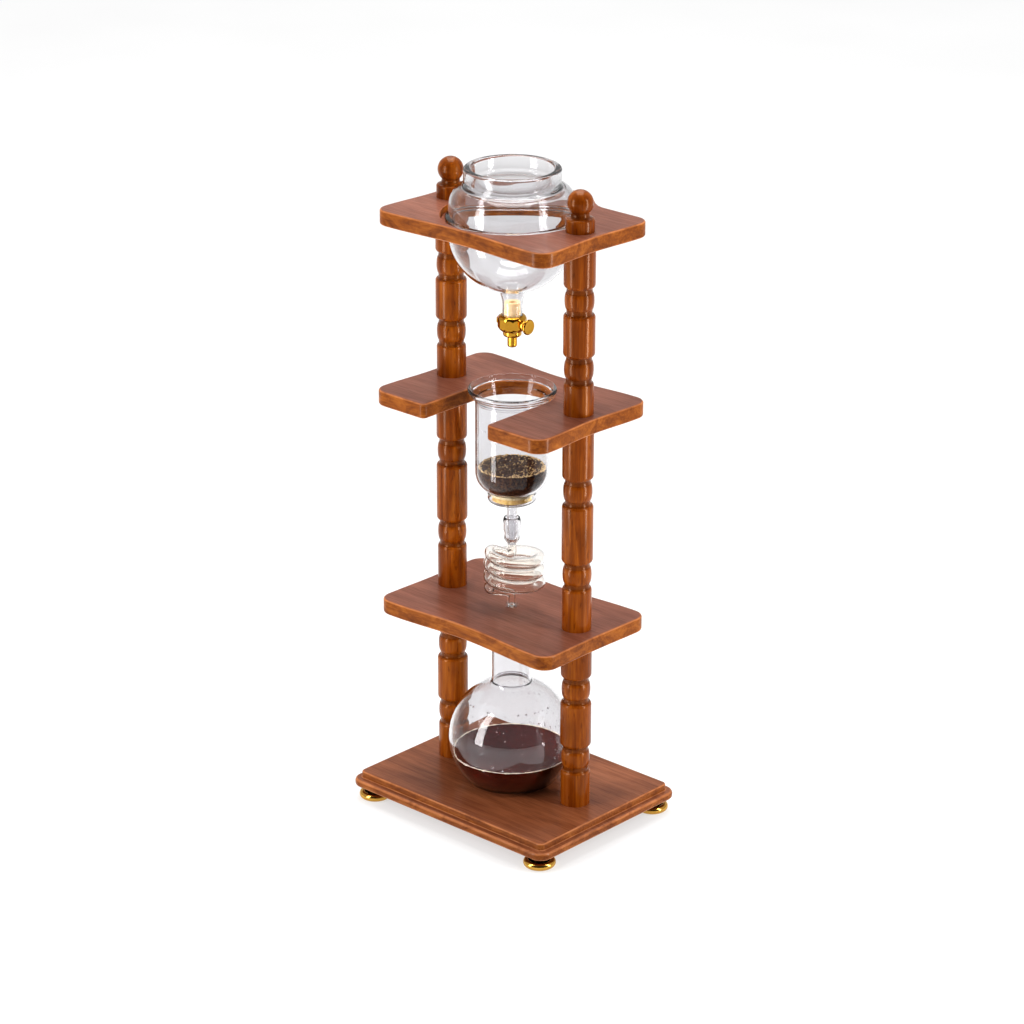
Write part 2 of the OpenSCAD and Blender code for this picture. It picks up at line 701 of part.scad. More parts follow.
module water_globe() {
  w = globe_wall;
  gr = globe_r;
  a_end = -acos((outlet_r + neck_flare) / gr);
  in_end = -acos((outlet_r + neck_flare - w + 0.8) / (gr - w));
  neck_l = bulb_z + gr * sin(a_end) - outlet_z;
  shoulder_z = rim_top - mouth_h;
  side_z = seat_z + globe_side_h;
  rise = shoulder_z - side_z - 1.5;
  foot_r = mouth_r + 2;
  in_foot_r = mouth_r - 1;
  outer = concat(
    [[outlet_r - neck_wall, outlet_z], [outlet_r, outlet_z], [outlet_r, outlet_z + neck_l * 0.45],
     [outlet_r + 0.7, outlet_z + neck_l * 0.65], [outlet_r + 2, outlet_z + neck_l * 0.84]],
    arc([0, bulb_z], gr, a_end, 0, 24),
    [[gr, seat_z], [bead_r, seat_z]],
    arc([bead_r - bead_round_r, seat_z + 3], bead_round_r, 0, 80, 5),
    [for (i = [0:10]) let (a = 9 * i)
      [foot_r + (gr - 0.4 - foot_r) * cos(a), side_z + rise * sin(a)]],
    [[mouth_r + 0.6, shoulder_z - 0.8], [mouth_r, shoulder_z]],
    arc([mouth_r - rim_round_r, rim_top - rim_round_r], rim_round_r, 0, 90, 5));
  inner = concat(
    arc([mouth_r - mouth_wall + rim_round_r, rim_top - rim_round_r], rim_round_r, 90, 180, 5),
    [[mouth_r - mouth_wall, shoulder_z + 1], [mouth_r - 2.6, shoulder_z - 3]],
    [for (i = [9:-1:0]) let (a = 9 * i)
      [in_foot_r + (gr - w - 0.4 - in_foot_r) * cos(a), side_z + (rise - w) * sin(a)]],
    [[gr - w, seat_z]],
    arc([0, bulb_z], gr - w, 0, in_end, 24),
    [[outlet_r, outlet_z + neck_l * 0.87], [outlet_r - 1.1, outlet_z + neck_l * 0.66],
     [outlet_r - neck_wall, outlet_z + neck_l * 0.45]]);
  color([0.86, 0.90, 0.92, 0.45]) translate([0, -glass_forward, 0])
    rotate_extrude($fn = round_fn) polygon(concat(outer, inner));
}

module tap_stopper() {
  color([0.93, 0.87, 0.70]) translate([0, -glass_forward, 0]) difference() {
    union() {
      translate([0, 0, outlet_z - stopper_lip_h]) cylinder(r = outlet_r, h = stopper_lip_h, $fn = 64);
      translate([0, 0, outlet_z]) cylinder(r = outlet_r - neck_wall - stud_clear, h = stopper_l, $fn = 64);
    }
    translate([0, 0, outlet_z - stopper_lip_h - 1])
      cylinder(d = stud_hole_d, h = stopper_l + stopper_lip_h + 2, $fn = 48);
  }
}

module tap_seal() {
  color([0.92, 0.92, 0.90]) translate([0, -glass_forward, cup_floor]) difference() {
    cylinder(r = outlet_r - 0.6, h = seal_h, $fn = 64);
    translate([0, 0, -1]) cylinder(d = stud_hole_d, h = seal_h + 2, $fn = 48);
  }
}

// Faceted body with a cup round the neck's end, a flange and the nozzle
module tap_body() {
  rb = tap_body_d / 2;
  rf = tap_flange_d / 2;
  rn = nozzle_d / 2;
  color([0.86, 0.66, 0.22]) translate([0, -glass_forward, 0]) difference() {
    union() {
      intersection() {
        rotate_extrude($fn = round_fn) polygon([
          [0, under_bottom], [rf + 0.4, under_bottom], [rb + corner_over, facet_bottom],
          [rb + corner_over, facet_top], [cup_r + cup_wall, cup_top], [cup_r, cup_top],
          [cup_r, cup_floor], [0, cup_floor]]);
        translate([0, 0, under_bottom - 1]) rotate([0, 0, 15])
          cylinder(d = tap_body_d, h = cup_top - under_bottom + 2, $fn = 12);
      }
      translate([0, 0, cup_floor]) cylinder(d = stud_d, h = stopper_l + seal_h, $fn = 48);
      rotate_extrude($fn = round_fn) polygon(concat(
        [[0, under_bottom], [rf, under_bottom]],
        arc([rf - tap_flange_h * 0.45, flange_bottom + tap_flange_h * 0.5], tap_flange_h * 0.45, 0, -70, 5),
        [[rn, flange_bottom]],
        arc([rn - nozzle_round_r, nozzle_tip + nozzle_round_r], nozzle_round_r, 0, -90, 5),
        [[0, nozzle_tip]]));
    }
    translate([0, 0, nozzle_tip - 1])
      cylinder(d = tap_bore_d, h = cup_floor - nozzle_tip + seal_h + stopper_l + 2, $fn = 32);
    translate([-tap_body_d, 0, spindle_z]) rotate([0, 90, 0])
      cylinder(d = spindle_hole_d, h = 2 * tap_body_d, $fn = 48);
  }
}

// Spindle, its drip port and the round knob, turning on the X axis
module tap_key() {
  shoulder_x = facet_r + loose_clear;
  knob_x = knob_reach - knob_t;
  neck_x = knob_x - key_neck_l;
  left_end = shoulder_x + nut_t;
  color([0.86, 0.66, 0.22]) translate([0, -glass_forward, spindle_z]) difference() {
    union() {
      translate([-left_end, 0, 0]) rotate([0, 90, 0])
        cylinder(d = spindle_d, h = left_end + knob_x + 0.5, $fn = 48);
      translate([shoulder_x, 0, 0]) rotate([0, 90, 0])
        cylinder(d = key_shoulder_d, h = neck_x - shoulder_x, $fn = 48);
      translate([knob_x, 0, 0]) rotate([0, 90, 0]) rotate_extrude($fn = round_fn) polygon(concat(
        [[0, 0], [knob_d / 2 - 1, 0]],
        arc([knob_d / 2 - knob_t / 2, knob_t / 2], knob_t / 2, -60, 60, 6),
        [[knob_d / 2 - 1.2, knob_t], [0, knob_t]]));
    }
    translate([0, 0, -spindle_d]) cylinder(d = tap_bore_d * 0.6, h = 2 * spindle_d, $fn = 24);
  }
}

module tap_key_nut() {
  color([0.80, 0.60, 0.20])
    translate([-facet_r - loose_clear - nut_t, -glass_forward, spindle_z])
      rotate([0, 90, 0]) difference() {
        cylinder(d = nut_d, h = nut_t, $fn = 6);
        translate([0, 0, -1]) cylinder(d = spindle_hole_d, h = nut_t + 2, $fn = 48);
      }
}

// ---- coffee chamber ----

module coffee_chamber() {
  w = chamber_wall;
  cr = chamber_r;
  seat = middle_top + loose_clear;
  rim_top_z = middle_top + chamber_rim_h;
  in_stem_r = stem_r - stem_wall;
  outer = concat(
    [[stem_tip_r - 0.9, stem_tip], [stem_tip_r, stem_tip], [stem_r, stem_tip + stem_taper_l],
     [stem_r, ring_z], [ring_r - ring_corner_r - 1, ring_z]],
    arc([ring_r - ring_corner_r, ring_z + ring_corner_r], ring_corner_r, -80, 0, 5),
    [[ring_r, ring_top - 1]],
    arc([turn_x, wall_z], chamber_turn_r, turn_end_a, 0, 12),
    [[cr, seat - 8], [cr + 1.2, seat - 3.4], [notch_r - 0.6, seat], [rim_r - 1.4, seat]],
    arc([rim_r - rim_corner_r, rim_top_z - rim_corner_r], rim_corner_r, 0, 100, 6));
  inner = [
    [rim_r - 2 * rim_corner_r, rim_top_z - 1.2], [cr, seat - 1.6], [cr - w + 0.5, seat - 7],
    [cr - w, seat - 10]];
  lower_inner = concat(
    arc([turn_x, wall_z], chamber_turn_r - w, 0, turn_end_a, 12),
    [[ring_r - w, ring_top - 1], [ring_r - w, chamber_floor + 2],
     [ring_r - w - 2, chamber_floor], [in_stem_r, chamber_floor],
     [in_stem_r, stem_tip + stem_taper_l]]);
  color([0.86, 0.90, 0.92, 0.45]) translate([0, -glass_forward, 0])
    rotate_extrude($fn = round_fn) polygon(concat(outer, inner, lower_inner));
}

// Open ring that stands on the chamber's floor and carries the filter disc
module filter_holder() {
  r = ring_r - chamber_wall - 2 - loose_clear;
  h = ring_top - filter_t - chamber_floor;
  color([0.85, 0.70, 0.35]) translate([0, -glass_forward, chamber_floor]) difference() {
    cylinder(r = r, h = h, $fn = 64);
    translate([0, 0, -1]) cylinder(r = r - holder_t, h = h + 2, $fn = 64);
  }
}

module filter_disc() {
  color([0.90, 0.82, 0.62]) translate([0, -glass_forward, ring_top - filter_t])
    cylinder(r = ring_r - chamber_wall - loose_clear, h = filter_t, $fn = 64);
}

// Ground coffee: fills the chamber over the filter, a little clear of the glass
module coffee_bed() {
  r = chamber_turn_r - chamber_wall - loose_clear;
  color([0.10, 0.06, 0.04]) translate([0, -glass_forward, 0]) intersection() {
    rotate_extrude($fn = round_fn) polygon(concat(
      [[0, bed_z], [ring_r - chamber_wall - 1, bed_z]],
      arc([turn_x, wall_z], r, bed_a, 0, 12),
      [[turn_x + r, middle_top - 12], [0, middle_top - 12]]));
    translate([0, 0, bed_z - 1]) cylinder(r = chamber_r, h = coffee_bed_h + 1, $fn = round_fn);
  }
}

// ---- coil ----

module coil_socket() {
  r = socket_d / 2;
  rl = r * 0.86;
  z = inlet_z;
  t = socket_top;
  outer = [[inlet_d / 2 - coil_wall, z], [inlet_d / 2, z], [rl - 1, z + 2.6], [rl, z + 5],
           [rl, z + 11], [r, z + 14.5], [r, t - 4], [r - 0.7, t - 1], [r - 0.8, t]];
  inner = [[r - 0.7 - socket_wall, t], [stem_r + 1, z + 15], [stem_r + 0.6, z + 11.5],
           [stem_r + 0.6, z + 6], [inlet_d / 2 - coil_wall, z + 1.6]];
  color([0.86, 0.90, 0.92, 0.45]) translate([0, -glass_forward, 0])
    rotate_extrude($fn = 64) polygon(concat(outer, inner));
}

module glass_coil() {
  n = (path_last + 1) * tube_sides;
  points = concat(
    [for (i = [0:path_last]) each ring(i, tube_r(i))],
    [for (i = [0:path_last]) each ring(i, tube_r(i) - coil_wall)]);
  faces = concat(skin(0, false), skin(n, true),
                 end_ring(0, n, false),
                 end_ring(path_last * tube_sides, n + path_last * tube_sides, true));
  color([0.86, 0.90, 0.92, 0.45]) translate([0, -glass_forward, 0])
    polyhedron(points = points, faces = faces, convexity = 10);
}

// Collar on the shelf and the straight spout through it
module coil_spout() {
  r = spout_d / 2;
  z = coil_z;
  color([0.86, 0.90, 0.92, 0.45]) translate([0, -glass_forward, 0])
    rotate_extrude($fn = 64) polygon([
      [r - coil_wall, z + collar_t], [collar_d / 2 - 0.5, z + collar_t],
      [collar_d / 2, z + collar_t / 2], [collar_d / 2 - 0.3, z], [r, z],
      [r, spout_tip + 1.5], [r - 0.8, spout_tip], [r - coil_wall, spout_tip]]);
}

// ---- flask ----

module flask() {
  w = flask_wall;
  a_foot = -asin(flask_centre_z / flask_r);
  a_neck = acos((neck_r + 2) / flask_r);
  in_foot = -asin((flask_centre_z - w) / flask_in_r);
  in_neck = acos((neck_r) / flask_in_r);
  outer = concat(
    [[0, flask_z], [flask_foot_r - 2.5, flask_z]],
    arc([0, body_z], flask_r, a_foot + 2, a_neck, 36),
    [[neck_r + 0.5, body_z + flask_r * sin(a_neck) + 2.2],
     [neck_r, body_z + flask_r * sin(a_neck) + 4.5], [neck_r, lip_z - 5]],
    arc([neck_r - 0.4, lip_z - lip_round_r - 0.2], lip_round_r, -70, 90, 6));
  inner = concat(
    [[neck_r - w, lip_z - 1], [neck_r - w, body_z + flask_r * sin(a_neck) + 3.5]],
    arc([0, body_z], flask_in_r, in_neck, in_foot + 2, 36),
    [[flask_foot_r - 6, flask_z + w], [0, flask_z + w]]);
  color([0.86, 0.90, 0.92, 0.45]) translate([0, -glass_forward, 0])
    rotate_extrude($fn = round_fn) polygon(concat(outer, inner));
}

module brewed_coffee() {
  r = flask_in_r - loose_clear;
  low = flask_z + flask_wall + loose_clear / 2;
  top = flask_z + coffee_level;
  a0 = -asin((body_z - low - 1) / r);
  a1 = -asin((body_z - top) / r);
  color([0.16, 0.03, 0.01]) translate([0, -glass_forward, 0])
    rotate_extrude($fn = round_fn) polygon(concat(
      [[0, low], [flask_foot_r - 7.5, low]],
      arc([0, body_z], r, a0 + 2, a1, 16), [[0, top]]));
}

// ---- the pieces ----

base_board();
lower_shelf();
middle_shelf();
top_shelf();
foot(-foot_x, -foot_y);  // foot_front_left
foot(foot_x, -foot_y);  // foot_front_right
foot(-foot_x, foot_y);  // foot_back_left
foot(foot_x, foot_y);  // foot_back_right
foot_screws();
post(-post_x, base_top, 0, lower_gap);  // post_lower_left
post(post_x, base_top, 0, lower_gap);  // post_lower_right
post(-post_x, lower_top, 1, middle_gap);  // post_middle_left
post(post_x, lower_top, 1, middle_gap);  // post_middle_right
post(-post_x, middle_top, 2, upper_gap);  // post_upper_left
post(post_x, middle_top, 2, upper_gap);  // post_upper_right
finial(-post_x);  // finial_left
finial(post_x);  // finial_right
base_screws();
studs(lower_z);  // lower_studs
studs(middle_z);  // middle_studs
studs(top_z);  // top_studs
water_globe();
tap_stopper();
tap_seal();
tap_body();
tap_key();
tap_key_nut();
coffee_chamber();
filter_holder();
filter_disc();
coffee_bed();
coil_socket();
glass_coil();
coil_spout();
flask();
brewed_coffee();
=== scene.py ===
import math
import random

import bmesh
import bpy
from mathutils import Matrix, Vector


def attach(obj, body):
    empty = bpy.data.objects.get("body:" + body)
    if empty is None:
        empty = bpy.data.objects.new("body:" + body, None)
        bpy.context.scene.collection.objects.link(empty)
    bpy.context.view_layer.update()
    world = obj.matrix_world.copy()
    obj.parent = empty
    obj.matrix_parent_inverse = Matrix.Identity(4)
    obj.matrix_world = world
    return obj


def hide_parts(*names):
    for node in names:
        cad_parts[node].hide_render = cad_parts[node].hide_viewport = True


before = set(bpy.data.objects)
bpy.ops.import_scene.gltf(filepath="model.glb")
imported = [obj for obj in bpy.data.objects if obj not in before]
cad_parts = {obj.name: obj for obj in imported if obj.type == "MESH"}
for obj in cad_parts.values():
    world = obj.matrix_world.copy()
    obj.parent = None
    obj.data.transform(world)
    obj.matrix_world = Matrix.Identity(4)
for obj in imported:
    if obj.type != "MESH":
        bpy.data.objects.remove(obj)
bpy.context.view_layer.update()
scene = bpy.context.scene
MM = 0.001
SEGS = 96

# ---------------------------------------------------------------- sizes, in millimetres, as in the CAD
BASE_W, BASE_D, BASE_T, BASE_R, BASE_STEP = 239.0, 186.0, 14.5, 12.0, 6.5
BAND_H, BAND_R, BASE_EDGE_R = 8.0, 3.2, 1.8
FOOT_D, FOOT_H, FOOT_RIM, FOOT_STEM_R, FOOT_HOLE_R = 29.4, 12.0, 7.2, 6.47, 4.15
FOOT_IN_X, FOOT_IN_Y = 17, 16
SHELF_T, SHELF_R = 14.0, 14.0
POST_X = 76.0
LOWER_POST_H, MIDDLE_POST_H, UPPER_POST_H = 157.5, 189.0, 151.0
GLASS_Y = -2.5
BASE_TOP = FOOT_H + BASE_T
LOWER_Z = BASE_TOP + LOWER_POST_H
LOWER_TOP = LOWER_Z + SHELF_T
MIDDLE_Z = LOWER_TOP + MIDDLE_POST_H
MIDDLE_TOP = MIDDLE_Z + SHELF_T
TOP_Z = MIDDLE_TOP + UPPER_POST_H
TOP_TOP = TOP_Z + SHELF_T
SEAT_DEPTH = 6.0
SEAT_Z = TOP_TOP - SEAT_DEPTH
GLOBE_R, GLOBE_WALL = 56.3, 2.2
MOUTH_R, MOUTH_WALL = 42.8, 7.0
GLOBE_RIM_H, GLOBE_COLLAR_H, GLOBE_CENTRE_DROP, GLOBE_DROP = 48.0, 16.0, 7.7, 86.6
RECESS_R = 63.0
OUTLET_R, OUTLET_WALL = 9.0, 1.8
OUTLET_Z = SEAT_Z - GLOBE_DROP
CHAMBER_R, CHAMBER_WALL, CHAMBER_RIM_R = 32.8, 1.9, 39.5
CHAMBER_DEPTH, BED_DEPTH = 72.5, 22.5
RING_R, RING_H, TURN_R = 22.0, 10.4, 20.8
STEM_R = 4.8
INLET_H, HELIX_H, SPOUT_H = 60.5, 53.0, 1.5
NOTCH_R = 37.0
FLASK_R, FLASK_WALL, NECK_R, FLASK_H = 57.4, 2.0, 18.3, 150.0
FLASK_CENTRE_H, COFFEE_H = 42.5, 29.8
BODY_Z = BASE_TOP + FLASK_CENTRE_H
COFFEE_Z = BASE_TOP + COFFEE_H


# ---------------------------------------------------------------- angles in degrees
def cosd(angle):
    return math.cos(math.radians(angle))


def sind(angle):
    return math.sin(math.radians(angle))


def acosd(ratio):
    return math.degrees(math.acos(ratio))


def asind(ratio):
    return math.degrees(math.asin(ratio))


# ---------------------------------------------------------------- mesh helpers
def arc(cx, cz, r, a0, a1, n):
    return [
        (cx + r * cosd(a0 + (a1 - a0) * i / n),
         cz + r * sind(a0 + (a1 - a0) * i / n))
        for i in range(n + 1)
    ]


def curve_through(points, n=6):
    """Smooth Catmull-Rom line through the points."""
    out = []
    for i in range(len(points) - 1):
        p0 = points[max(i - 1, 0)]
        p1, p2 = points[i], points[i + 1]
        p3 = points[min(i + 2, len(points) - 1)]
        for k in range(n):
            t = k / n
            out.append(tuple(
                0.5 * (2 * b + (c - a) * t + (2 * a - 5 * b + 4 * c - d) * t * t
                       + (3 * b - a - 3 * c + d) * t ** 3)
                for a, b, c, d in zip(p0, p1, p2, p3)))
    out.append(points[-1])
    return out


def finish_mesh(name, bm, material, body, nodes=(), sharp=40, merge=0.0005):
    """Turns bm, in millimetres, into a piece that rides on body and replaces the CAD nodes."""
    bmesh.ops.remove_doubles(bm, verts=bm.verts, dist=merge)
    bmesh.ops.recalc_face_normals(bm, faces=bm.faces)
    bmesh.ops.scale(bm, vec=(MM, MM, MM), verts=bm.verts)
    mesh = bpy.data.meshes.new(name)
    bm.to_mesh(mesh)
    bm.free()
    mesh.shade_smooth()
    mesh.set_sharp_from_angle(angle=math.radians(sharp))
    ob = bpy.data.objects.new(name, mesh)
    scene.collection.objects.link(ob)
    mesh.materials.append(material)
    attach(ob, body)
    if nodes:
        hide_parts(*nodes)
    return ob


def add_lathe(bm, profile, x=0.0, y=0.0, z=0.0, closed=False, segs=SEGS, axis="z"):
    """Turns (radius, height) pairs about axis and returns the rings of vertices."""
    rings = []
    for r, h in profile:
        if r < 1e-6:
            pts = [(0.0, 0.0, h)]
        else:
            pts = [(r * math.cos(2 * math.pi * k / segs), r * math.sin(2 * math.pi * k / segs), h)
                   for k in range(segs)]
        if axis == "x":
            pts = [(p[2], p[0], p[1]) for p in pts]
        rings.append([bm.verts.new((p[0] + x, p[1] + y, p[2] + z)) for p in pts])
    pairs = list(zip(rings, rings[1:]))
    if closed:
        pairs.append((rings[-1], rings[0]))
    for a, b in pairs:
        for k in range(segs):
            m = (k + 1) % segs
            if len(a) == 1 and len(b) == 1:
                continue
            if len(a) == 1:
                bm.faces.new((a[0], b[m], b[k]))
            elif len(b) == 1:
                bm.faces.new((a[k], a[m], b[0]))
            else:
                bm.faces.new((a[k], a[m], b[m], b[k]))
    return rings


def lathe(name, profile, material, body, nodes=(), x=0.0, y=GLASS_Y, closed=False, sharp=40,
          segs=SEGS):
    bm = bmesh.new()
    add_lathe(bm, profile, x=x, y=y, closed=closed, segs=segs)
    return finish_mesh(name, bm, material, body, nodes, sharp)


def loop_verts(bm, outline, z):
    return [bm.verts.new((x, y, z)) for x, y in outline]


def bridge(bm, a, b):
    for k in range(len(a)):
        m = (k + 1) % len(a)
        bm.faces.new((a[k], a[m], b[m], b[k]))


def loop_edges(bm, loop):
    out = []
    for k in range(len(loop)):
        pair = (loop[k], loop[(k + 1) % len(loop)])
        out.append(bm.edges.get(pair) or bm.edges.new(pair))
    return out


def cap(bm, *loops):
    edges = [e for lp in loops for e in loop_edges(bm, lp)]
    bmesh.ops.triangle_fill(bm, use_beauty=True, use_dissolve=False, edges=edges)


def circle(r, n, y=GLASS_Y):
    turns = [2 * math.pi * k / n for k in range(n)]
    return [(r * math.cos(a), y + r * math.sin(a)) for a in turns]


def round_edge(t, r, n=5):
    """(inset, height) pairs from the bottom face's edge to the top face's edge."""
    low = [(r * (1 - sind(90 * i / n)), r * (1 - cosd(90 * i / n))) for i in range(n + 1)]
    return [(r + 0.1, 0.0)] + low + [(i, t - h) for i, h in reversed(low)] + [(r + 0.1, t)]


def board(name, z0, outline_at, edge, nodes, material, top_hole=None, low_hole=None, ledge=None):
    """A board whose edge follows edge; its round hole may narrow below the height ledge."""
    bm = bmesh.new()
    loops = [loop_verts(bm, outline_at(inset), z0 + h) for inset, h in edge]
    for a, b in zip(loops, loops[1:]):
        bridge(bm, a, b)
    z1 = z0 + edge[-1][1]
    n = 128
    if top_hole is None:
        cap(bm, loops[0])
        cap(bm, loops[-1])
    else:
        low_hole = low_hole or top_hole
        ledge = z0 + 0.5 * (z1 - z0) if ledge is None else ledge
        lip = 0.3
        rows = [(top_hole + lip, z1), (top_hole + lip * 0.3, z1 - lip * 0.3), (top_hole, z1 - lip),
                (top_hole, ledge), (low_hole, ledge), (low_hole, z0)]
        rings = [loop_verts(bm, circle(r, n), z) for r, z in rows]
        for a, b in zip(rings, rings[1:]):
            bridge(bm, a, b)
        cap(bm, loops[-1], rings[0])
        cap(bm, loops[0], rings[-1])
    ob = finish_mesh(name, bm, material, "stand", nodes, sharp=50)
    mod = ob.modifiers.new("even", "WEIGHTED_NORMAL")
    mod.keep_sharp = True
    return ob


# ---------------------------------------------------------------- node helpers
def new_material(name):
    mat = bpy.data.materials.new(name)
    mat.use_nodes = True
    nt = mat.node_tree
    nt.nodes.clear()
    out = nt.nodes.new("ShaderNodeOutputMaterial")
    bsdf = nt.nodes.new("ShaderNodeBsdfPrincipled")
    nt.links.new(bsdf.outputs["BSDF"], out.inputs["Surface"])
    return mat, nt, bsdf, out


def mapping(nt, scale, location=(0, 0, 0)):
    tc = nt.nodes.new("ShaderNodeTexCoord")
    mp = nt.nodes.new("ShaderNodeMapping")
    mp.inputs["Scale"].default_value = scale
    mp.inputs["Location"].default_value = location
    nt.links.new(tc.outputs["Object"], mp.inputs["Vector"])
    return mp.outputs["Vector"]


def noise(nt, vector, scale=1.0, detail=4.0, rough=0.55, distortion=0.0):
    n = nt.nodes.new("ShaderNodeTexNoise")
    n.inputs["Scale"].default_value = scale
    n.inputs["Detail"].default_value = detail
    n.inputs["Roughness"].default_value = rough
    n.inputs["Distortion"].default_value = distortion
    nt.links.new(vector, n.inputs["Vector"])
    return n.outputs["Fac"]


def ramp(nt, fac, stops):
    r = nt.nodes.new("ShaderNodeValToRGB")
    els = r.color_ramp.elements
    while len(els) < len(stops):
        els.new(0.5)
    for el, (pos, col) in zip(els, stops):
        el.position = pos
        el.color = (*col, 1.0)
    nt.links.new(fac, r.inputs["Fac"])
    return r.outputs["Color"]


def mix_color(nt, fac, a, b, blend="MIX"):
    m = nt.nodes.new("ShaderNodeMix")
    m.data_type = "RGBA"
    m.blend_type = blend
    for socket, value in ((m.inputs[0], fac), (m.inputs[6], a), (m.inputs[7], b)):
        if isinstance(value, (int, float)):
            socket.default_value = value
        elif isinstance(value, tuple):
            socket.default_value = (*value, 1.0)
        else:
            nt.links.new(value, socket)
    return m.outputs[2]


def math_node(nt, op, a, b=0.0):
    m = nt.nodes.new("ShaderNodeMath")
    m.operation = op
    for socket, value in zip(m.inputs, (a, b)):
        if isinstance(value, (int, float)):
            socket.default_value = value
        else:
            nt.links.new(value, socket)
    return m.outputs[0]


def blend_noise(nt, a, share_a, b, share_b):
    return math_node(nt, "ADD", math_node(nt, "MULTIPLY", a, share_a),
                     math_node(nt, "MULTIPLY", b, share_b))


def bump(nt, bsdf, height, strength, distance=0.0004):
    b = nt.nodes.new("ShaderNodeBump")
    b.inputs["Strength"].default_value = strength
    b.inputs["Distance"].default_value = distance
    nt.links.new(height, b.inputs["Height"])
    nt.links.new(b.outputs["Normal"], bsdf.inputs["Normal"])


# ---------------------------------------------------------------- materials
def wood_board(name, top, edge, line, gloss):
    """Lacquered wood with its grain along X and warmer-stained edges; its tops are pinker, partly a
    painted reflection of the bright room, and a paler line on the rounded edges is a painted highlight.
    """
    mat, nt, bsdf, _ = new_material(name)
    streak = noise(nt, mapping(nt, (6, 80, 80)), 1.0, 5, 0.6, 0.7)
    fine = noise(nt, mapping(nt, (26, 540, 540)), 1.0, 3, 0.6, 0.2)
    cloud = noise(nt, mapping(nt, (9, 16, 16), location=(3, 1, 2)), 1.0, 3, 0.5, 0.8)
    pores = noise(nt, mapping(nt, (60, 1300, 1300)), 1.0, 1, 0.5)
    figure = noise(nt, mapping(nt, (34, 34, 70), location=(1, 4, 2)), 1.0, 5, 0.62, 1.6)
    fac = blend_noise(nt, streak, 0.6, fine, 0.4)
    body = ramp(nt, fac, [(0.28, top[0]), (0.5, top[1]), (0.76, top[2])])
    patch = ramp(nt, cloud, [(0.32, (0.68, 0.62, 0.58)), (0.68, (1.12, 1.12, 1.12))])
    body = mix_color(nt, 0.8, body, patch, "MULTIPLY")
    pore = ramp(nt, pores, [(0.30, (0.50, 0.44, 0.42)), (0.42, (1, 1, 1))])
    body = mix_color(nt, 0.5, body, pore, "MULTIPLY")
    side = ramp(nt, blend_noise(nt, figure, 0.7, fine, 0.3),
                [(0.30, edge[0]), (0.5, edge[1]), (0.70, edge[2])])
    geo = nt.nodes.new("ShaderNodeNewGeometry")
    sep = nt.nodes.new("ShaderNodeSeparateXYZ")
    nt.links.new(geo.outputs["Normal"], sep.inputs[0])
    upright = math_node(nt, "ABSOLUTE", sep.outputs[2])
    flat = ramp(nt, upright, [(0.55, (0, 0, 0)), (0.97, (1, 1, 1))])
    # Painted highlight: the rounded edges, found by their slanting normals, are lightened in patches
    # towards the pale line colour.
    corner = ramp(nt, upright, [(0.20, (0, 0, 0)), (0.55, (1, 1, 1)), (0.80, (1, 1, 1)),
                                (0.98, (0, 0, 0))])
    patchy = ramp(nt, figure, [(0.35, (0.3, 0.3, 0.3)), (0.6, (0.85, 0.85, 0.85))])
    painted_highlight = math_node(nt, "MULTIPLY", corner, patchy)
    # Upward faces take the top colours, pinker than the edges: warmer-stained edges, plus a painted
    # reflection of the bright room on the tops.
    body = mix_color(nt, flat, side, body)
    body = mix_color(nt, painted_highlight, body, line)
    nt.links.new(body, bsdf.inputs["Base Color"])
    rough = ramp(nt, fine, [(0.3, (0.44, 0.44, 0.44)), (0.7, (0.32, 0.32, 0.32))])
    nt.links.new(rough, bsdf.inputs["Roughness"])
    bsdf.inputs["Specular IOR Level"].default_value = 0.1
    bsdf.inputs["Coat Weight"].default_value = gloss
    bsdf.inputs["Coat Roughness"].default_value = 0.14
    bump(nt, bsdf, math_node(nt, "ADD", pores, fine), 0.12)
    return mat


def wood_turned(name):
    """Glossy stained wood turned on a lathe: streaks run along Z, and painted shade darkens the
    grooves.
    """
    mat, nt, bsdf, _ = new_material(name)
    streak = noise(nt, mapping(nt, (120, 120, 8)), 1.0, 4, 0.6, 0.9)
    fine = noise(nt, mapping(nt, (600, 600, 24)), 1.0, 3, 0.6, 0.2)
    cloud = noise(nt, mapping(nt, (34, 34, 22), location=(2, 5, 1)), 1.0, 2, 0.5, 0.6)
    fleck = noise(nt, mapping(nt, (420, 420, 90), location=(7, 3, 5)), 1.0, 1, 0.5)
    fac = blend_noise(nt, streak, 0.65, fine, 0.35)
    body = ramp(nt, fac, [(0.33, (0.115, 0.022, 0.001)), (0.5, (0.225, 0.055, 0.004)),
                          (0.67, (0.355, 0.108, 0.010))])
    patch = ramp(nt, cloud, [(0.3, (0.66, 0.58, 0.50)), (0.7, (1.18, 1.16, 1.12))])
    body = mix_color(nt, 0.8, body, patch, "MULTIPLY")
    spots = ramp(nt, fleck, [(0.26, (0.35, 0.25, 0.2)), (0.33, (1, 1, 1))])
    body = mix_color(nt, 0.55, body, spots, "MULTIPLY")
    # Painted shade: the grooves, marked in the mesh by radius, are darkened towards a deep brown.
    groove = nt.nodes.new("ShaderNodeAttribute")
    groove.attribute_name = "groove"
    groove_shade = math_node(nt, "MULTIPLY", groove.outputs["Fac"], 0.6)
    body = mix_color(nt, groove_shade, body, (0.060, 0.012, 0.001))
    nt.links.new(body, bsdf.inputs["Base Color"])
    rough = ramp(nt, fine, [(0.3, (0.30, 0.30, 0.30)), (0.7, (0.24, 0.24, 0.24))])
    nt.links.new(rough, bsdf.inputs["Roughness"])
    bsdf.inputs["Specular IOR Level"].default_value = 0.22
    bsdf.inputs["Specular Tint"].default_value = (1.0, 0.50, 0.18, 1)
    bsdf.inputs["Coat Weight"].default_value = 0.20
    bsdf.inputs["Coat Roughness"].default_value = 0.13
    bump(nt, bsdf, fine, 0.06)
    return mat


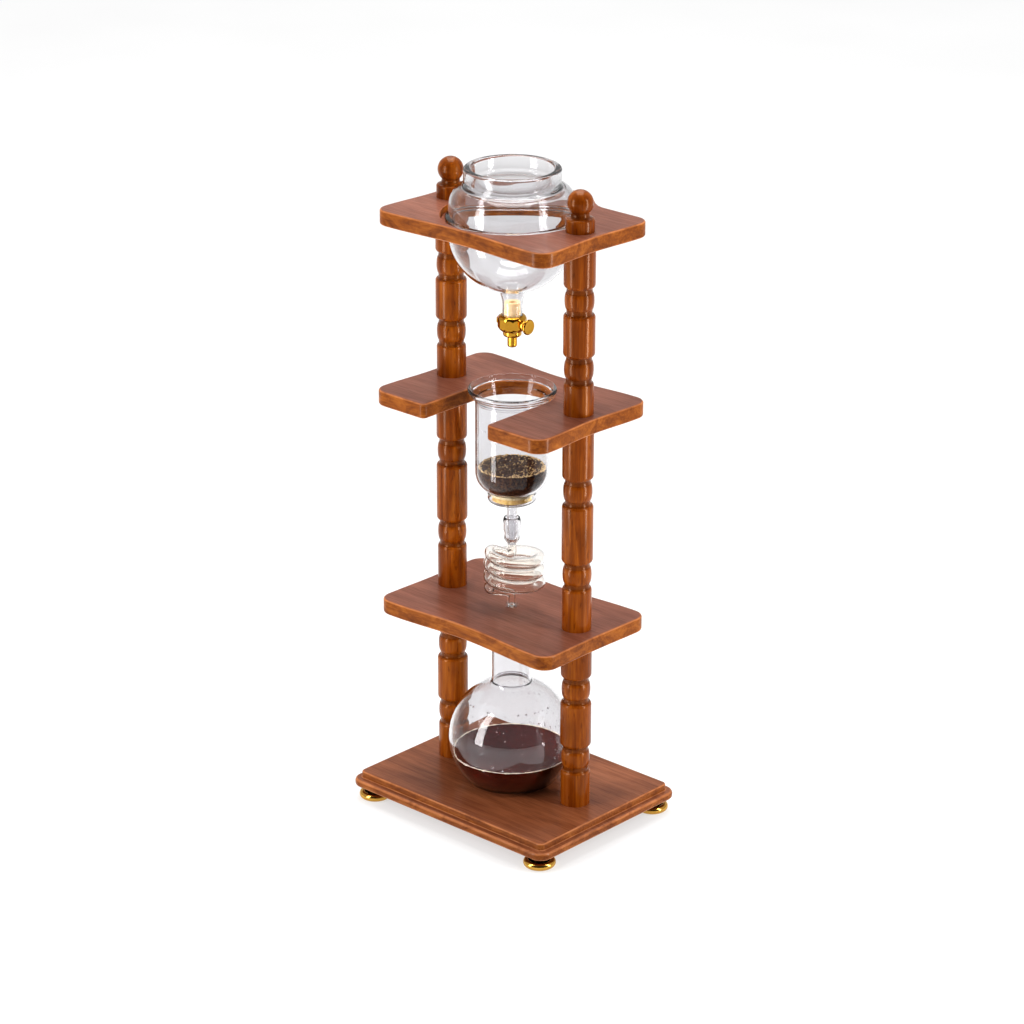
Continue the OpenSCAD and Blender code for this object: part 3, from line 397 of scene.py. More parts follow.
def metal(name, color, rough):
    mat, nt, bsdf, _ = new_material(name)
    spread = 0.06
    n = noise(nt, mapping(nt, (300, 300, 300)), 1.0, 4, 0.6)
    tone = ramp(nt, n, [(0.3, tuple(c * 0.88 for c in color)), (0.7, color)])
    nt.links.new(tone, bsdf.inputs["Base Color"])
    r = ramp(nt, n, [(0.3, (rough + spread,) * 3), (0.7, (rough,) * 3)])
    nt.links.new(r, bsdf.inputs["Roughness"])
    bsdf.inputs["Metallic"].default_value = 1.0
    bump(nt, bsdf, n, 0.03)
    return mat


def clear_glass(name, tint=(0.845, 0.838, 0.852), ior=1.47, wave=0.0):
    mat, nt, bsdf, out = new_material(name)
    streak = noise(nt, mapping(nt, (30, 30, 14)), 1.0, 2, 0.5)
    tone = ramp(nt, streak, [(0.3, tuple(c * 0.985 for c in tint)), (0.7, tint)])
    nt.links.new(tone, bsdf.inputs["Base Color"])
    bsdf.inputs["Roughness"].default_value = 0.0
    bsdf.inputs["IOR"].default_value = ior
    bsdf.inputs["Transmission Weight"].default_value = 1.0
    bsdf.inputs["Specular IOR Level"].default_value = 0.3
    if wave:
        bump(nt, bsdf, streak, wave, 0.002)
    path = nt.nodes.new("ShaderNodeLightPath")
    clear = nt.nodes.new("ShaderNodeBsdfTransparent")
    clear.inputs["Color"].default_value = (0.93, 0.94, 0.94, 1)
    both = nt.nodes.new("ShaderNodeMixShader")
    nt.links.new(path.outputs["Is Shadow Ray"], both.inputs[0])
    nt.links.new(bsdf.outputs["BSDF"], both.inputs[1])
    nt.links.new(clear.outputs["BSDF"], both.inputs[2])
    nt.links.new(both.outputs[0], out.inputs["Surface"])
    return mat


def dull(name, stops, scale, rough, bump_strength=0.1, distance=0.0004, sheen=0.0, subsurface=0.0,
         coat=0.0, specular=0.4):
    mat, nt, bsdf, _ = new_material(name)
    n = noise(nt, mapping(nt, scale), 1.0, 5, 0.6, 0.3)
    nt.links.new(ramp(nt, n, stops), bsdf.inputs["Base Color"])
    r = ramp(nt, n, [(0.3, (rough * 1.1,) * 3), (0.7, (rough * 0.85,) * 3)])
    nt.links.new(r, bsdf.inputs["Roughness"])
    bsdf.inputs["Sheen Weight"].default_value = sheen
    bsdf.inputs["Subsurface Weight"].default_value = subsurface
    bsdf.inputs["Subsurface Radius"].default_value = (0.004, 0.003, 0.002)
    bsdf.inputs["Coat Weight"].default_value = coat
    bsdf.inputs["Specular IOR Level"].default_value = specular
    bump(nt, bsdf, n, bump_strength, distance)
    return mat


# Board colours: tops, edges, then the pale colour of the painted highlight on the rounded edges; the
# tops' pinker colours are partly a painted reflection of the bright room.
BOARD = wood_board("board_wood",
                   ((0.158, 0.053, 0.031), (0.235, 0.088, 0.054), (0.308, 0.127, 0.082)),
                   ((0.085, 0.018, 0.002), (0.225, 0.062, 0.006), (0.390, 0.132, 0.018)),
                   (0.50, 0.19, 0.070), 0.16)
BASE = wood_board("base_wood",
                  ((0.135, 0.038, 0.014), (0.240, 0.083, 0.035), (0.330, 0.128, 0.060)),
                  ((0.085, 0.018, 0.003), (0.225, 0.064, 0.010), (0.370, 0.132, 0.026)),
                  (0.48, 0.19, 0.080), 0.20)
TURNED = wood_turned("turned_wood")
BRASS = metal("polished_brass", (0.64, 0.34, 0.045), 0.09)
FOOT_BRASS = metal("foot_brass", (0.66, 0.38, 0.085), 0.13)
# Nearly black finish on the feet's hollow tops and stems: partly a dark stem, partly painted shade
# under the board.
DISH_SHADE = metal("foot_dish_shade", (0.030, 0.018, 0.008), 0.35)
STEEL = metal("steel", (0.62, 0.62, 0.63), 0.3)
GLASS = clear_glass("clear_glass")
THIN_GLASS = clear_glass("thin_glass", ior=1.32)
BLOWN = clear_glass("blown_glass", (0.985, 0.965, 0.94), 1.30, wave=0.04)
WATER = clear_glass("water_drops", (0.99, 0.99, 0.99), 1.33)
STOPPER = dull("cream_silicone", [(0.3, (0.84, 0.54, 0.25)), (0.7, (0.94, 0.72, 0.44))], (60, 60, 160),
               0.4, subsurface=0.3)
SEAL = dull("white_silicone", [(0.3, (0.80, 0.80, 0.78)), (0.7, (0.9, 0.9, 0.88))], (200, 200, 200),
            0.45)
AMBER = dull("amber_ring", [(0.32, (0.42, 0.20, 0.03)), (0.5, (0.72, 0.46, 0.12)),
                            (0.68, (0.90, 0.76, 0.42))], (150, 150, 110), 0.3)
CLOTH = dull("filter_cloth", [(0.3, (0.55, 0.38, 0.18)), (0.7, (0.86, 0.74, 0.50))], (500, 500, 260),
             0.8, 0.3, sheen=0.2)
GROUNDS = dull("wet_grounds", [(0.3, (0.008, 0.002, 0.001)), (0.52, (0.036, 0.011, 0.004)),
                               (0.70, (0.160, 0.062, 0.018))], (520, 520, 520), 0.55, 0.6, 0.001,
               specular=0.15)
COFFEE = dull("brewed_coffee", [(0.3, (0.038, 0.001, 0.0005)), (0.7, (0.062, 0.003, 0.001))],
              (26, 26, 18), 0.04, 0.0, specular=0.5)
FOAM = dull("coffee_foam", [(0.3, (0.70, 0.55, 0.40)), (0.7, (0.95, 0.90, 0.80))], (900, 900, 900),
            0.4, 0.4, 0.0006, subsurface=0.2)
BUBBLE = dull("gold_bubbles", [(0.3, (0.50, 0.28, 0.09)), (0.7, (0.90, 0.68, 0.36))], (700, 700, 700),
              0.15, 0.1, coat=0.6)


def dress(material, *nodes):
    """Shows CAD nodes as they are, in a material of their own."""
    for node in nodes:
        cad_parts[node].data.materials.clear()
        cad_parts[node].data.materials.append(material)


# ---------------------------------------------------------------- boards
def swell(x, h):
    return 0.0 if abs(x) >= h else cosd(90 * x / h) ** 2


def shelf_outline(width, front, back, front_in, back_out, side_in, notch=None):
    """Gives the shelf's outline at an inset; a notch for the chamber may open its front edge."""
    def at(inset):
        w, r = width / 2 - inset, SHELF_R - inset
        f, b = front - inset, back - inset
        n, m = 28, 8
        run, mid, half = w - r, (b - f) / 2, (f + b) / 2 - r
        if notch:
            nr, lip = notch + inset, 5.0 - inset
            side = arc(-nr - lip, -f + lip, lip, -90, 0, 6)
            pts = side + arc(0, GLASS_Y, nr, 180, 0, 40) + [(-x, y) for x, y in reversed(side)]
        else:
            pts = [(x, -f + front_in * swell(x, run))
                   for x in (-run + 2 * run * i / n for i in range(1, n))]
        pts += arc(run, r - f, r, -90, 0, m)
        pts += [(w - side_in * swell(y - mid, half), y)
                for y in (mid - half + 2 * half * i / n for i in range(1, n))]
        pts += arc(run, b - r, r, 0, 90, m)
        reach = run * 0.52 if back_out > 0 else run
        pts += [(x, b + back_out * swell(x, reach))
                for x in (run - 2 * run * i / n for i in range(1, n))]
        pts += arc(-run, b - r, r, 90, 180, m)
        pts += [(-w + side_in * swell(y - mid, half), y)
                for y in (mid + half - 2 * half * i / n for i in range(1, n))]
        pts += arc(-run, r - f, r, 180, 270, m)
        return pts
    return at


def base_outline(inset):
    r = BASE_R - inset
    cx, cy = BASE_W / 2 - BASE_R, BASE_D / 2 - BASE_R
    return (arc(cx, -cy, r, -90, 0, 12) + arc(cx, cy, r, 0, 90, 12)
            + arc(-cx, cy, r, 90, 180, 12) + arc(-cx, -cy, r, 180, 270, 12))


base_edge = ([(BAND_R + 0.6, 0.0)]
             + [(BAND_R - x, z) for x, z in arc(0.0, BAND_R, BAND_R, -70, 0, 8)]
             + [(BAND_R - x, z) for x, z in arc(0.0, BAND_H - BAND_R, BAND_R, 0, 70, 8)]
             + [(BAND_R + 0.1, BAND_H - 0.02), (BASE_STEP - 1.2, BAND_H),
                (BASE_STEP - 0.5, BAND_H + 0.25), (BASE_STEP - 0.1, BAND_H + 0.9)]
             + [(BASE_STEP + BASE_EDGE_R - x, z)
                for x, z in arc(0.0, BASE_T - BASE_EDGE_R, BASE_EDGE_R, 0, 80, 7)]
             + [(BASE_STEP + BASE_EDGE_R + 0.3, BASE_T)])
board("base_board_wood", FOOT_H, base_outline, base_edge, ["base_board"], BASE)
edge = round_edge(SHELF_T, 2.0)
board("lower_shelf_wood", LOWER_Z,
      shelf_outline(width=206, front=71, back=66.5, front_in=5.5, back_out=-5.5, side_in=1),
      edge, ["lower_shelf"], BOARD, top_hole=3.8)
board("middle_shelf_wood", MIDDLE_Z,
      shelf_outline(width=200, front=77, back=67.5, front_in=0, back_out=-6.5, side_in=3,
                    notch=NOTCH_R),
      edge, ["middle_shelf"], BOARD)
board("top_shelf_wood", TOP_Z,
      shelf_outline(width=200, front=73, back=66.5, front_in=4.5, back_out=25, side_in=3),
      edge, ["top_shelf"], BOARD, top_hole=RECESS_R, low_hole=GLOBE_R + 0.7, ledge=SEAT_Z)


# ---------------------------------------------------------------- turned posts, finials and feet
GROOVE_R, GROOVE_H, BEAD_R, BEAD_H = 11.2, 4.6, 13.0, 15.5


def shoulder_out(r, z):
    drop, long = r - GROOVE_R - 0.5, 2.9
    return ([(r - drop * (1 - cosd(a)), z - long + (long + 0.2) * sind(a))
             for a in range(0, 91, 10)] + [(GROOVE_R + 0.15, z + 0.8), (GROOVE_R, z + GROOVE_H * 0.4)])


def shoulder_in(r, z):
    return [(a, 2 * z - b) for a, b in reversed(shoulder_out(r, z))]


def bead_points(z):
    return [(GROOVE_R + (BEAD_R - GROOVE_R) * cosd(a),
             z + BEAD_H / 2 * (1 + sind(a) / sind(80)))
            for a in (-80 + 8 * i for i in range(21))]


def mark_grooves(ob, axis_x, full, deep):
    """Vertex values for the painted shade in the grooves, between the radii full and deep."""
    attr = ob.data.attributes.new("groove", "FLOAT", "POINT")
    for v, d in zip(ob.data.vertices, attr.data):
        r = math.hypot(v.co.x - axis_x * MM, v.co.y) / MM
        d.value = min(1.0, max(0.0, (full - r) / (full - deep)))


def post(name, x, z, foot_h, long_h, h, node):
    """A post: foot, bead, long middle, bead and head, with a groove between each two."""
    z1 = foot_h + GROOVE_H
    z2 = z1 + BEAD_H + GROOVE_H
    z3 = z2 + long_h + GROOVE_H
    z4 = z3 + BEAD_H + GROOVE_H
    inside_r, foot_r, long_r, head_r = 6.0, 13.2, 14.0, 13.9
    prof = ([(inside_r, 0.0), (foot_r, 0.0), (foot_r, foot_h * 0.5)] + shoulder_out(foot_r, foot_h)
            + bead_points(z1) + shoulder_in(long_r, z2) + [(long_r, z2 + long_h / 2)]
            + shoulder_out(long_r, z2 + long_h) + bead_points(z3) + shoulder_in(head_r, z4)
            + [(head_r, h - 1.0), (head_r, h), (inside_r, h)])
    ob = lathe(name, [(r, z + v) for r, v in prof], TURNED, "stand", [node], x=x, y=0.0,
               sharp=35)
    mark_grooves(ob, x, full=12.3, deep=GROOVE_R)


LEVELS = (("lower", BASE_TOP, 33, 42.5, LOWER_POST_H), ("middle", LOWER_TOP, 39.5, 54, MIDDLE_POST_H),
          ("upper", MIDDLE_TOP, 28.5, 37.5, UPPER_POST_H))
for side, sx in (("left", -1), ("right", 1)):
    for level, z, foot_h, long_h, h in LEVELS:
        post(f"{level}_post_{side}", sx * POST_X, z, foot_h, long_h, h, f"post_{level}_{side}")
    rb, ball_z, cove = 11.5, 25.0, 8.0
    a0 = -acosd(cove / rb)
    prof = ([(6.0, 0.0), (12.7, 0.0), (12.7, 6.0)] + arc(10.7, 10.0, 2.0, 0, 75, 6)
            + [(9.3, 12.6), (8.3, 13.6), (8.0, 15.4)]
            + [(max(0.0, rb * cosd(a0 + (90 - a0) * i / 28)),
                ball_z + rb * sind(a0 + (90 - a0) * i / 28)) for i in range(29)])
    prof = [(0.0 if r < 1e-4 else r, TOP_TOP + v) for r, v in prof]
    ob = lathe(f"finial_turned_{side}", prof, TURNED, "stand", [f"finial_{side}"],
               x=sx * POST_X, y=0.0, sharp=60)
    mark_grooves(ob, sx * POST_X, full=11.0, deep=cove)
    # The ball gets an even value in the painted groove shade mask, not one set by its radius, so it is
    # darkened evenly.
    ball_from, ball_darkening = TOP_TOP + 19, 0.25
    for v, d in zip(ob.data.vertices, ob.data.attributes["groove"].data):
        if v.co.z / MM > ball_from:
            d.value = ball_darkening

fr = FOOT_D / 2
foot_profile = ([(FOOT_HOLE_R, 0.0), (fr - 3.4, 0.0)]
                + arc(fr - FOOT_RIM / 2, FOOT_RIM / 2, FOOT_RIM / 2, -78, 78, 16)
                + [(fr - 4.1, FOOT_RIM - 0.1), (fr - FOOT_RIM * 0.62, FOOT_RIM * 0.96),
                   (fr - 5.2, FOOT_RIM * 0.80), (fr - FOOT_RIM * 0.8, FOOT_RIM * 0.7),
                   (FOOT_STEM_R + 1.2, FOOT_RIM * 0.55), (FOOT_STEM_R, FOOT_RIM * 0.75),
                   (FOOT_STEM_R, FOOT_H), (FOOT_HOLE_R, FOOT_H)])
for fy, front in ((-1, "front"), (1, "back")):
    for fx, side in ((-1, "left"), (1, "right")):
        cx, cy = fx * (BASE_W / 2 - FOOT_IN_X), fy * (BASE_D / 2 - FOOT_IN_Y)
        ob = lathe(f"brass_{front}_{side}", foot_profile, FOOT_BRASS, "stand",
                   [f"foot_{front}_{side}"], x=cx, y=cy, closed=True, sharp=50)
        # Painted shade: the dish's hollow top and the stem, under the board, take the nearly black
        # finish.
        ob.data.materials.append(DISH_SHADE)
        for face in ob.data.polygons:
            r = math.hypot(face.center.x / MM - cx, face.center.y / MM - cy)
            if r < fr - FOOT_RIM * 0.60 and face.center.z / MM > 1:
                face.material_index = 1
dress(STEEL, "foot_screws", "base_screws", "lower_studs", "middle_studs", "top_studs")

# ---------------------------------------------------------------- water globe
rim_top = SEAT_Z + GLOBE_RIM_H
shoulder_z = rim_top - GLOBE_COLLAR_H
bulb_z = SEAT_Z - GLOBE_CENTRE_DROP
fall = shoulder_z - (SEAT_Z + 12)
a_end = -acosd((OUTLET_R + 4) / GLOBE_R)
in_end = -acosd((OUTLET_R + 2.6) / (GLOBE_R - GLOBE_WALL))
neck_l = bulb_z + GLOBE_R * sind(a_end) - OUTLET_Z
bead_r = GLOBE_R + 2.5
neck_out = curve_through([(OUTLET_R, OUTLET_Z + neck_l * 0.40),
                          (OUTLET_R + 0.05, OUTLET_Z + neck_l * 0.5),
                          (OUTLET_R + 0.75, OUTLET_Z + neck_l * 0.68),
                          (OUTLET_R + 2, OUTLET_Z + neck_l * 0.86),
                          (OUTLET_R + 4, OUTLET_Z + neck_l)], 5)
outer = ([(OUTLET_R - OUTLET_WALL, OUTLET_Z), (OUTLET_R - 0.3, OUTLET_Z), (OUTLET_R, OUTLET_Z + 0.4)]
         + neck_out
         + arc(0, bulb_z, GLOBE_R, a_end + 2, 0, 48)
         + [(GLOBE_R, SEAT_Z - 0.6), (GLOBE_R + 0.3, SEAT_Z), (bead_r - 0.6, SEAT_Z)]
         + arc(bead_r - 2.4, SEAT_Z + 3, 2.4, -60, 70, 10)
         + [(MOUTH_R + 2 + (GLOBE_R - 0.4 - MOUTH_R - 2) * cosd(a),
             SEAT_Z + 12 + (fall - 1.5) * sind(a)) for a in range(-20, 86, 5)]
         + [(MOUTH_R + 0.9, shoulder_z - 0.9), (MOUTH_R + 0.2, shoulder_z), (MOUTH_R, shoulder_z + 1.2),
            (MOUTH_R - 0.7, shoulder_z + 3.0), (MOUTH_R - 0.7, shoulder_z + 4.0),
            (MOUTH_R, shoulder_z + 5.2)]
         + arc(MOUTH_R - 2.2, rim_top - 2.2, 2.2, 0, 90, 8))
inner = (arc(MOUTH_R - MOUTH_WALL + 2.2, rim_top - 2.2, 2.2, 90, 180, 8)
         + curve_through([(MOUTH_R - MOUTH_WALL, rim_top - 4), (MOUTH_R - MOUTH_WALL, shoulder_z + 4),
                          (MOUTH_R - MOUTH_WALL + 1.2, shoulder_z + 0.6),
                          (MOUTH_R - 2.6, shoulder_z - 2.2), (MOUTH_R + 0.6, shoulder_z - 3.6)], 5)
         + [(MOUTH_R - 1 + (GLOBE_R - GLOBE_WALL - 0.4 - MOUTH_R + 1) * cosd(a),
             SEAT_Z + 12 + (fall - 1.5 - GLOBE_WALL) * sind(a)) for a in range(75, -1, -5)]
         + [(GLOBE_R - GLOBE_WALL, SEAT_Z + 4)]
         + arc(0, bulb_z, GLOBE_R - GLOBE_WALL, 0, in_end, 48)
         + curve_through([(OUTLET_R + 0.6, OUTLET_Z + neck_l * 0.90),
                          (OUTLET_R - 0.9, OUTLET_Z + neck_l * 0.68),
                          (OUTLET_R - 1.75, OUTLET_Z + neck_l * 0.48),
                          (OUTLET_R - OUTLET_WALL, OUTLET_Z + neck_l * 0.40)], 4))
lathe("globe_glass", outer + inner, GLASS, "globe", ["water_globe"], closed=True,
      sharp=70, segs=128)

# ---------------------------------------------------------------- tap
CUP_TOP, CUP_FLOOR = OUTLET_Z + 1.2, OUTLET_Z - 1.7
FACET_TOP = CUP_TOP - 3.6
FACET_BOTTOM = FACET_TOP - 8.0
UNDER_BOTTOM = FACET_BOTTOM - 3.2
FLANGE_BOTTOM = UNDER_BOTTOM - 5.2
NOZZLE_TIP = FLANGE_BOTTOM - 9.7
KEY_Z = (FACET_TOP + FACET_BOTTOM) / 2
BODY_R, FLANGE_R, NOZZLE_R, CUP_R, FACETS = 12.9, 8.3, 4.3, 9.3, 12
FACET_R = BODY_R * math.cos(math.pi / FACETS)
dress(STOPPER, "tap_stopper")
dress(SEAL, "tap_seal")
dress(BRASS, "tap_key_nut")
dress(GLASS, "coil_spout")
dress(AMBER, "filter_holder")
dress(CLOTH, "filter_disc")


def facet_limit(k, segs):
    """Distance from the axis to the twelve-sided form at step k of a turn."""
    step = 2 * math.pi / FACETS
    a = (2 * math.pi * k / segs + step / 2) % step - step / 2
    return FACET_R / math.cos(a)


bm = bmesh.new()
TAP_SEGS = 144
under = curve_through([(FLANGE_R + 0.4, UNDER_BOTTOM), (FLANGE_R + 1.7, UNDER_BOTTOM + 0.5),
                       (BODY_R - 1.1, FACET_BOTTOM - 1.0), (BODY_R + 0.2, FACET_BOTTOM + 1.2)], 5)
over = curve_through([(BODY_R + 0.2, FACET_TOP - 1.4), (BODY_R - 0.35, FACET_TOP + 0.7),
                      (BODY_R - 1.3, FACET_TOP + 2.4), (CUP_R + 1.3, CUP_TOP - 0.5),
                      (CUP_R + 0.8, CUP_TOP)], 6)
body = ([(0.0, UNDER_BOTTOM)] + under + over
        + [(CUP_R + 0.1, CUP_TOP - 0.05), (CUP_R, CUP_TOP - 0.4), (CUP_R, CUP_FLOOR), (0.0, CUP_FLOOR)])
rings = add_lathe(bm, body, y=GLASS_Y, segs=TAP_SEGS)
for ring in rings:
    if len(ring) == TAP_SEGS:
        for k, v in enumerate(ring):
            r = math.hypot(v.co.x, v.co.y - GLASS_Y)
            keep = min(1.0, facet_limit(k, TAP_SEGS) / r)
            v.co.x *= keep
            v.co.y = GLASS_Y + (v.co.y - GLASS_Y) * keep
# Flange and nozzle
add_lathe(bm, [(0.0, UNDER_BOTTOM + 0.4), (FLANGE_R - 0.2, UNDER_BOTTOM + 0.4),
               (FLANGE_R, UNDER_BOTTOM - 0.2)]
          + arc(FLANGE_R - 2.34, FLANGE_BOTTOM + 2.6, 2.34, 0, -70, 10)
          + [(NOZZLE_R + 0.7, FLANGE_BOTTOM + 0.15), (NOZZLE_R + 0.1, FLANGE_BOTTOM - 0.2),
             (NOZZLE_R, FLANGE_BOTTOM - 0.9)]
          + arc(NOZZLE_R - 2.0, NOZZLE_TIP + 2.0, 2.0, 0, -88, 10)
          + [(1.5, NOZZLE_TIP), (1.5, NOZZLE_TIP + 3), (0.0, NOZZLE_TIP + 3)], y=GLASS_Y)
# Spigot inside the stopper
add_lathe(bm, [(0.0, CUP_FLOOR - 0.5), (3.0, CUP_FLOOR - 0.5), (3.0, CUP_FLOOR + 9.8),
               (0.0, CUP_FLOOR + 9.8)], y=GLASS_Y, segs=48)
finish_mesh("tap_brass", bm, BRASS, "globe", ["tap_body"], sharp=12)

bm = bmesh.new()
KNOB_OUT, KNOB_T, KNOB_R, SHOULDER_R = 20.4, 2.6, 7.0, 4.2
knob_in = KNOB_OUT - KNOB_T
shoulder_x = FACET_R + 0.3
add_lathe(bm, [(0.0, -shoulder_x - 2.4), (2.7, -shoulder_x - 2.4), (3.0, -shoulder_x - 2.1),
               (3.0, shoulder_x - 0.4), (3.0, shoulder_x), (SHOULDER_R - 0.3, shoulder_x),
               (SHOULDER_R, shoulder_x + 0.3),
               (SHOULDER_R, knob_in - 2.9), (SHOULDER_R - 0.3, knob_in - 2.4), (3.0, knob_in - 2.2),
               (2.8, knob_in - 1.2), (3.1, knob_in - 0.4), (4.2, knob_in), (KNOB_R - 1.0, knob_in)]
          + arc(KNOB_R - KNOB_T / 2, knob_in + KNOB_T / 2, KNOB_T / 2, -55, 60, 10)
          + [(KNOB_R - 1.3, KNOB_OUT - 0.05), (KNOB_R - 2.2, KNOB_OUT - 0.25),
             (KNOB_R * 0.4, KNOB_OUT - 0.4), (0.0, KNOB_OUT - 0.4)],
          y=GLASS_Y, z=KEY_Z, axis="x", segs=72)
finish_mesh("tap_knob", bm, BRASS, "key", ["tap_key"], sharp=40)

# ---------------------------------------------------------------- coffee chamber
wall_z = MIDDLE_TOP - CHAMBER_DEPTH
turn_x = CHAMBER_R - TURN_R
turn_a = -acosd((RING_R + 0.6 - turn_x) / TURN_R)
ring_top = wall_z + TURN_R * sind(turn_a)
ring_z = ring_top - RING_H
floor_z = ring_z + CHAMBER_WALL
inlet_z = LOWER_TOP + INLET_H
stem_tip = inlet_z + 3.5
seat = MIDDLE_TOP + 0.3
rim_z = MIDDLE_TOP + 6.0
outer = ([(1.4, stem_tip), (2.0, stem_tip), (2.3, stem_tip + 0.4), (STEM_R - 0.2, stem_tip + 11),
          (STEM_R, stem_tip + 12.5), (STEM_R, ring_z - 1.5), (STEM_R + 0.9, ring_z - 0.2)]
         + [(RING_R - 5, ring_z)] + arc(RING_R - 4, ring_z + 4, 4, -85, 0, 10)
         + [(RING_R, ring_top - 1.4), (RING_R + 0.2, ring_top - 0.4)]
         + arc(turn_x, wall_z, TURN_R, turn_a + 2, 0, 24)
         + curve_through([(CHAMBER_R, wall_z + 4), (CHAMBER_R, seat - 12),
                          (CHAMBER_R + 0.3, seat - 6.5), (CHAMBER_R + 1.5, seat - 2.8),
                          (CHAMBER_R + 3.4, seat - 0.4), (CHAMBER_R + 4.6, seat + 0.2),
                          (CHAMBER_RIM_R - 2.0, seat + 0.4)], 6)
         + arc(CHAMBER_RIM_R - 2.0, rim_z - 2.0, 2.0, -60, 100, 12))
inner = (curve_through([(CHAMBER_RIM_R - 3.6, rim_z - 0.9), (CHAMBER_RIM_R - 5.4, rim_z - 3.2),
                        (CHAMBER_R + 0.3, seat - 0.6), (CHAMBER_R - 1.1, seat - 5.0),
                        (CHAMBER_R - CHAMBER_WALL, seat - 10),
                        (CHAMBER_R - CHAMBER_WALL, wall_z + 3)], 6)
         + arc(turn_x, wall_z, TURN_R - CHAMBER_WALL, 0, turn_a, 24)
         + [(RING_R - CHAMBER_WALL, ring_top - 1.5), (RING_R - CHAMBER_WALL, floor_z + 2.4)]
         + arc(RING_R - CHAMBER_WALL - 2.2, floor_z + 2.2, 2.2, 0, -90, 6)
         + [(STEM_R - 1.6, floor_z), (STEM_R - 1.6, stem_tip + 12), (1.4, stem_tip + 2)])
lathe("chamber_glass", outer + inner, THIN_GLASS, "chamber", ["coffee_chamber"],
      closed=True, sharp=70, segs=128)

# Wet grounds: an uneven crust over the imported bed, with bubbles
rng = random.Random(11)
bed_z = ring_top + 0.15
bed_top = bed_z + BED_DEPTH
bed_turn = TURN_R - CHAMBER_WALL - 0.1
bed_a = -asind((wall_z - bed_z - 1) / bed_turn)
bed_r = turn_x + bed_turn


def crust(x, y):
    """Height of the uneven top of the wet grounds."""
    h = 0.0
    for i, (k, amp) in enumerate(((0.16, 0.9), (0.42, 0.5), (1.1, 0.28))):
        along, across = k * (x * 1.3 + y * 0.7) + i * 1.9, k * (y * 1.2 - x * 0.5) + i * 2.3
        h += amp * math.sin(along) * math.cos(across)
    return h


bm = bmesh.new()
side = [(0.0, bed_z), (RING_R - CHAMBER_WALL - 1, bed_z)] + arc(turn_x, wall_z, bed_turn, bed_a, 0, 16)
top_rows = [(bed_r, bed_top - 1.2)] + [(bed_r * (1 - (i / 26)), bed_top - 0.4) for i in range(1, 26)]
rings = add_lathe(bm, side + top_rows + [(0.0, bed_top - 0.4)], y=GLASS_Y, segs=110)
for ring in rings[len(side) + 1:]:
    for v in ring:
        fade = min(1.0, (bed_r - math.hypot(v.co.x, v.co.y - GLASS_Y)) / 4)
        v.co.z += crust(v.co.x, v.co.y) * fade * 0.8 + rng.uniform(-0.22, 0.22) * fade
finish_mesh("wet_coffee_bed", bm, GROUNDS, "chamber", ["coffee_bed"], sharp=80)


def blobs(name, places, material, body, seed, squash=0.7):
    """Many small drops or bubbles in one mesh: (x, y, z, radius, normal) in millimetres."""
    bm = bmesh.new()
    r2 = random.Random(seed)
    for x, y, z, r, nrm in places:
        made = bmesh.ops.create_icosphere(bm, subdivisions=2, radius=r)["verts"]
        up = Vector(nrm).normalized()
        turn = Vector((0, 0, 1)).rotation_difference(up).to_matrix()
        stretch = (1 + r2.uniform(-0.15, 0.25), 1 + r2.uniform(-0.15, 0.15),
                   squash * r2.uniform(0.85, 1.15))
        for v in made:
            p = Vector((v.co.x * stretch[0], v.co.y * stretch[1], v.co.z * stretch[2]))
            v.co = turn @ p + Vector((x, y, z))
    return finish_mesh(name, bm, material, body, sharp=80, merge=0.00001)


BUBBLES, FLASK_DROPS, CHAMBER_DROPS = 640, 230, 60
places = []
for _ in range(BUBBLES):
    a = rng.uniform(0, 2 * math.pi)
    edge_ring = rng.random() < 0.5
    rr = bed_r - 0.9 - abs(rng.gauss(0, 1.4)) if edge_ring else bed_r * math.sqrt(rng.random()) * 0.94
    x, y = rr * math.cos(a), rr * math.sin(a)
    r = (0.42 if edge_ring else 0.26) + 0.5 * rng.random() ** 2
    fade = min(1.0, (bed_r - rr) / 4)
    z = bed_top - 0.35 + crust(x, y + GLASS_Y) * fade * 0.8 + r * 0.15
    places.append((x, y + GLASS_Y, z, r, (0, 0, 1)))
blobs("coffee_bubbles", places, BUBBLE, "chamber", 5)

# ---------------------------------------------------------------- glass coil, one swept tube
COIL_R, PITCH, TURNS, START_A = 22.5, 11.6, 3, 222.0
INLET_D, TUBE_D, SPOUT_D, TUBE_WALL = 8.0, 11.0, 7.0, 1.3
SHIFT, SHIFT_A, BEND_PULL = 2.4, 42, 14
helix_z = LOWER_TOP + HELIX_H
shift = Vector((SHIFT * cosd(SHIFT_A), SHIFT * sind(SHIFT_A), 0))


def helix_point(a):
    t = math.radians(a)
    z = helix_z - PITCH * (a - START_A) / 360
    return shift + Vector((COIL_R * math.cos(t), COIL_R * math.sin(t), z))


def helix_way(a):
    t = math.radians(a)
    return Vector((-math.sin(t), math.cos(t), -PITCH / (2 * math.pi * COIL_R))).normalized()


def bezier(a, b, c, d, t):
    return a * (1 - t) ** 3 + b * 3 * t * (1 - t) ** 2 + c * 3 * t * t * (1 - t) + d * t ** 3


def fade01(t):
    t = min(1.0, max(0.0, t))
    return t * t * (3 - 2 * t)


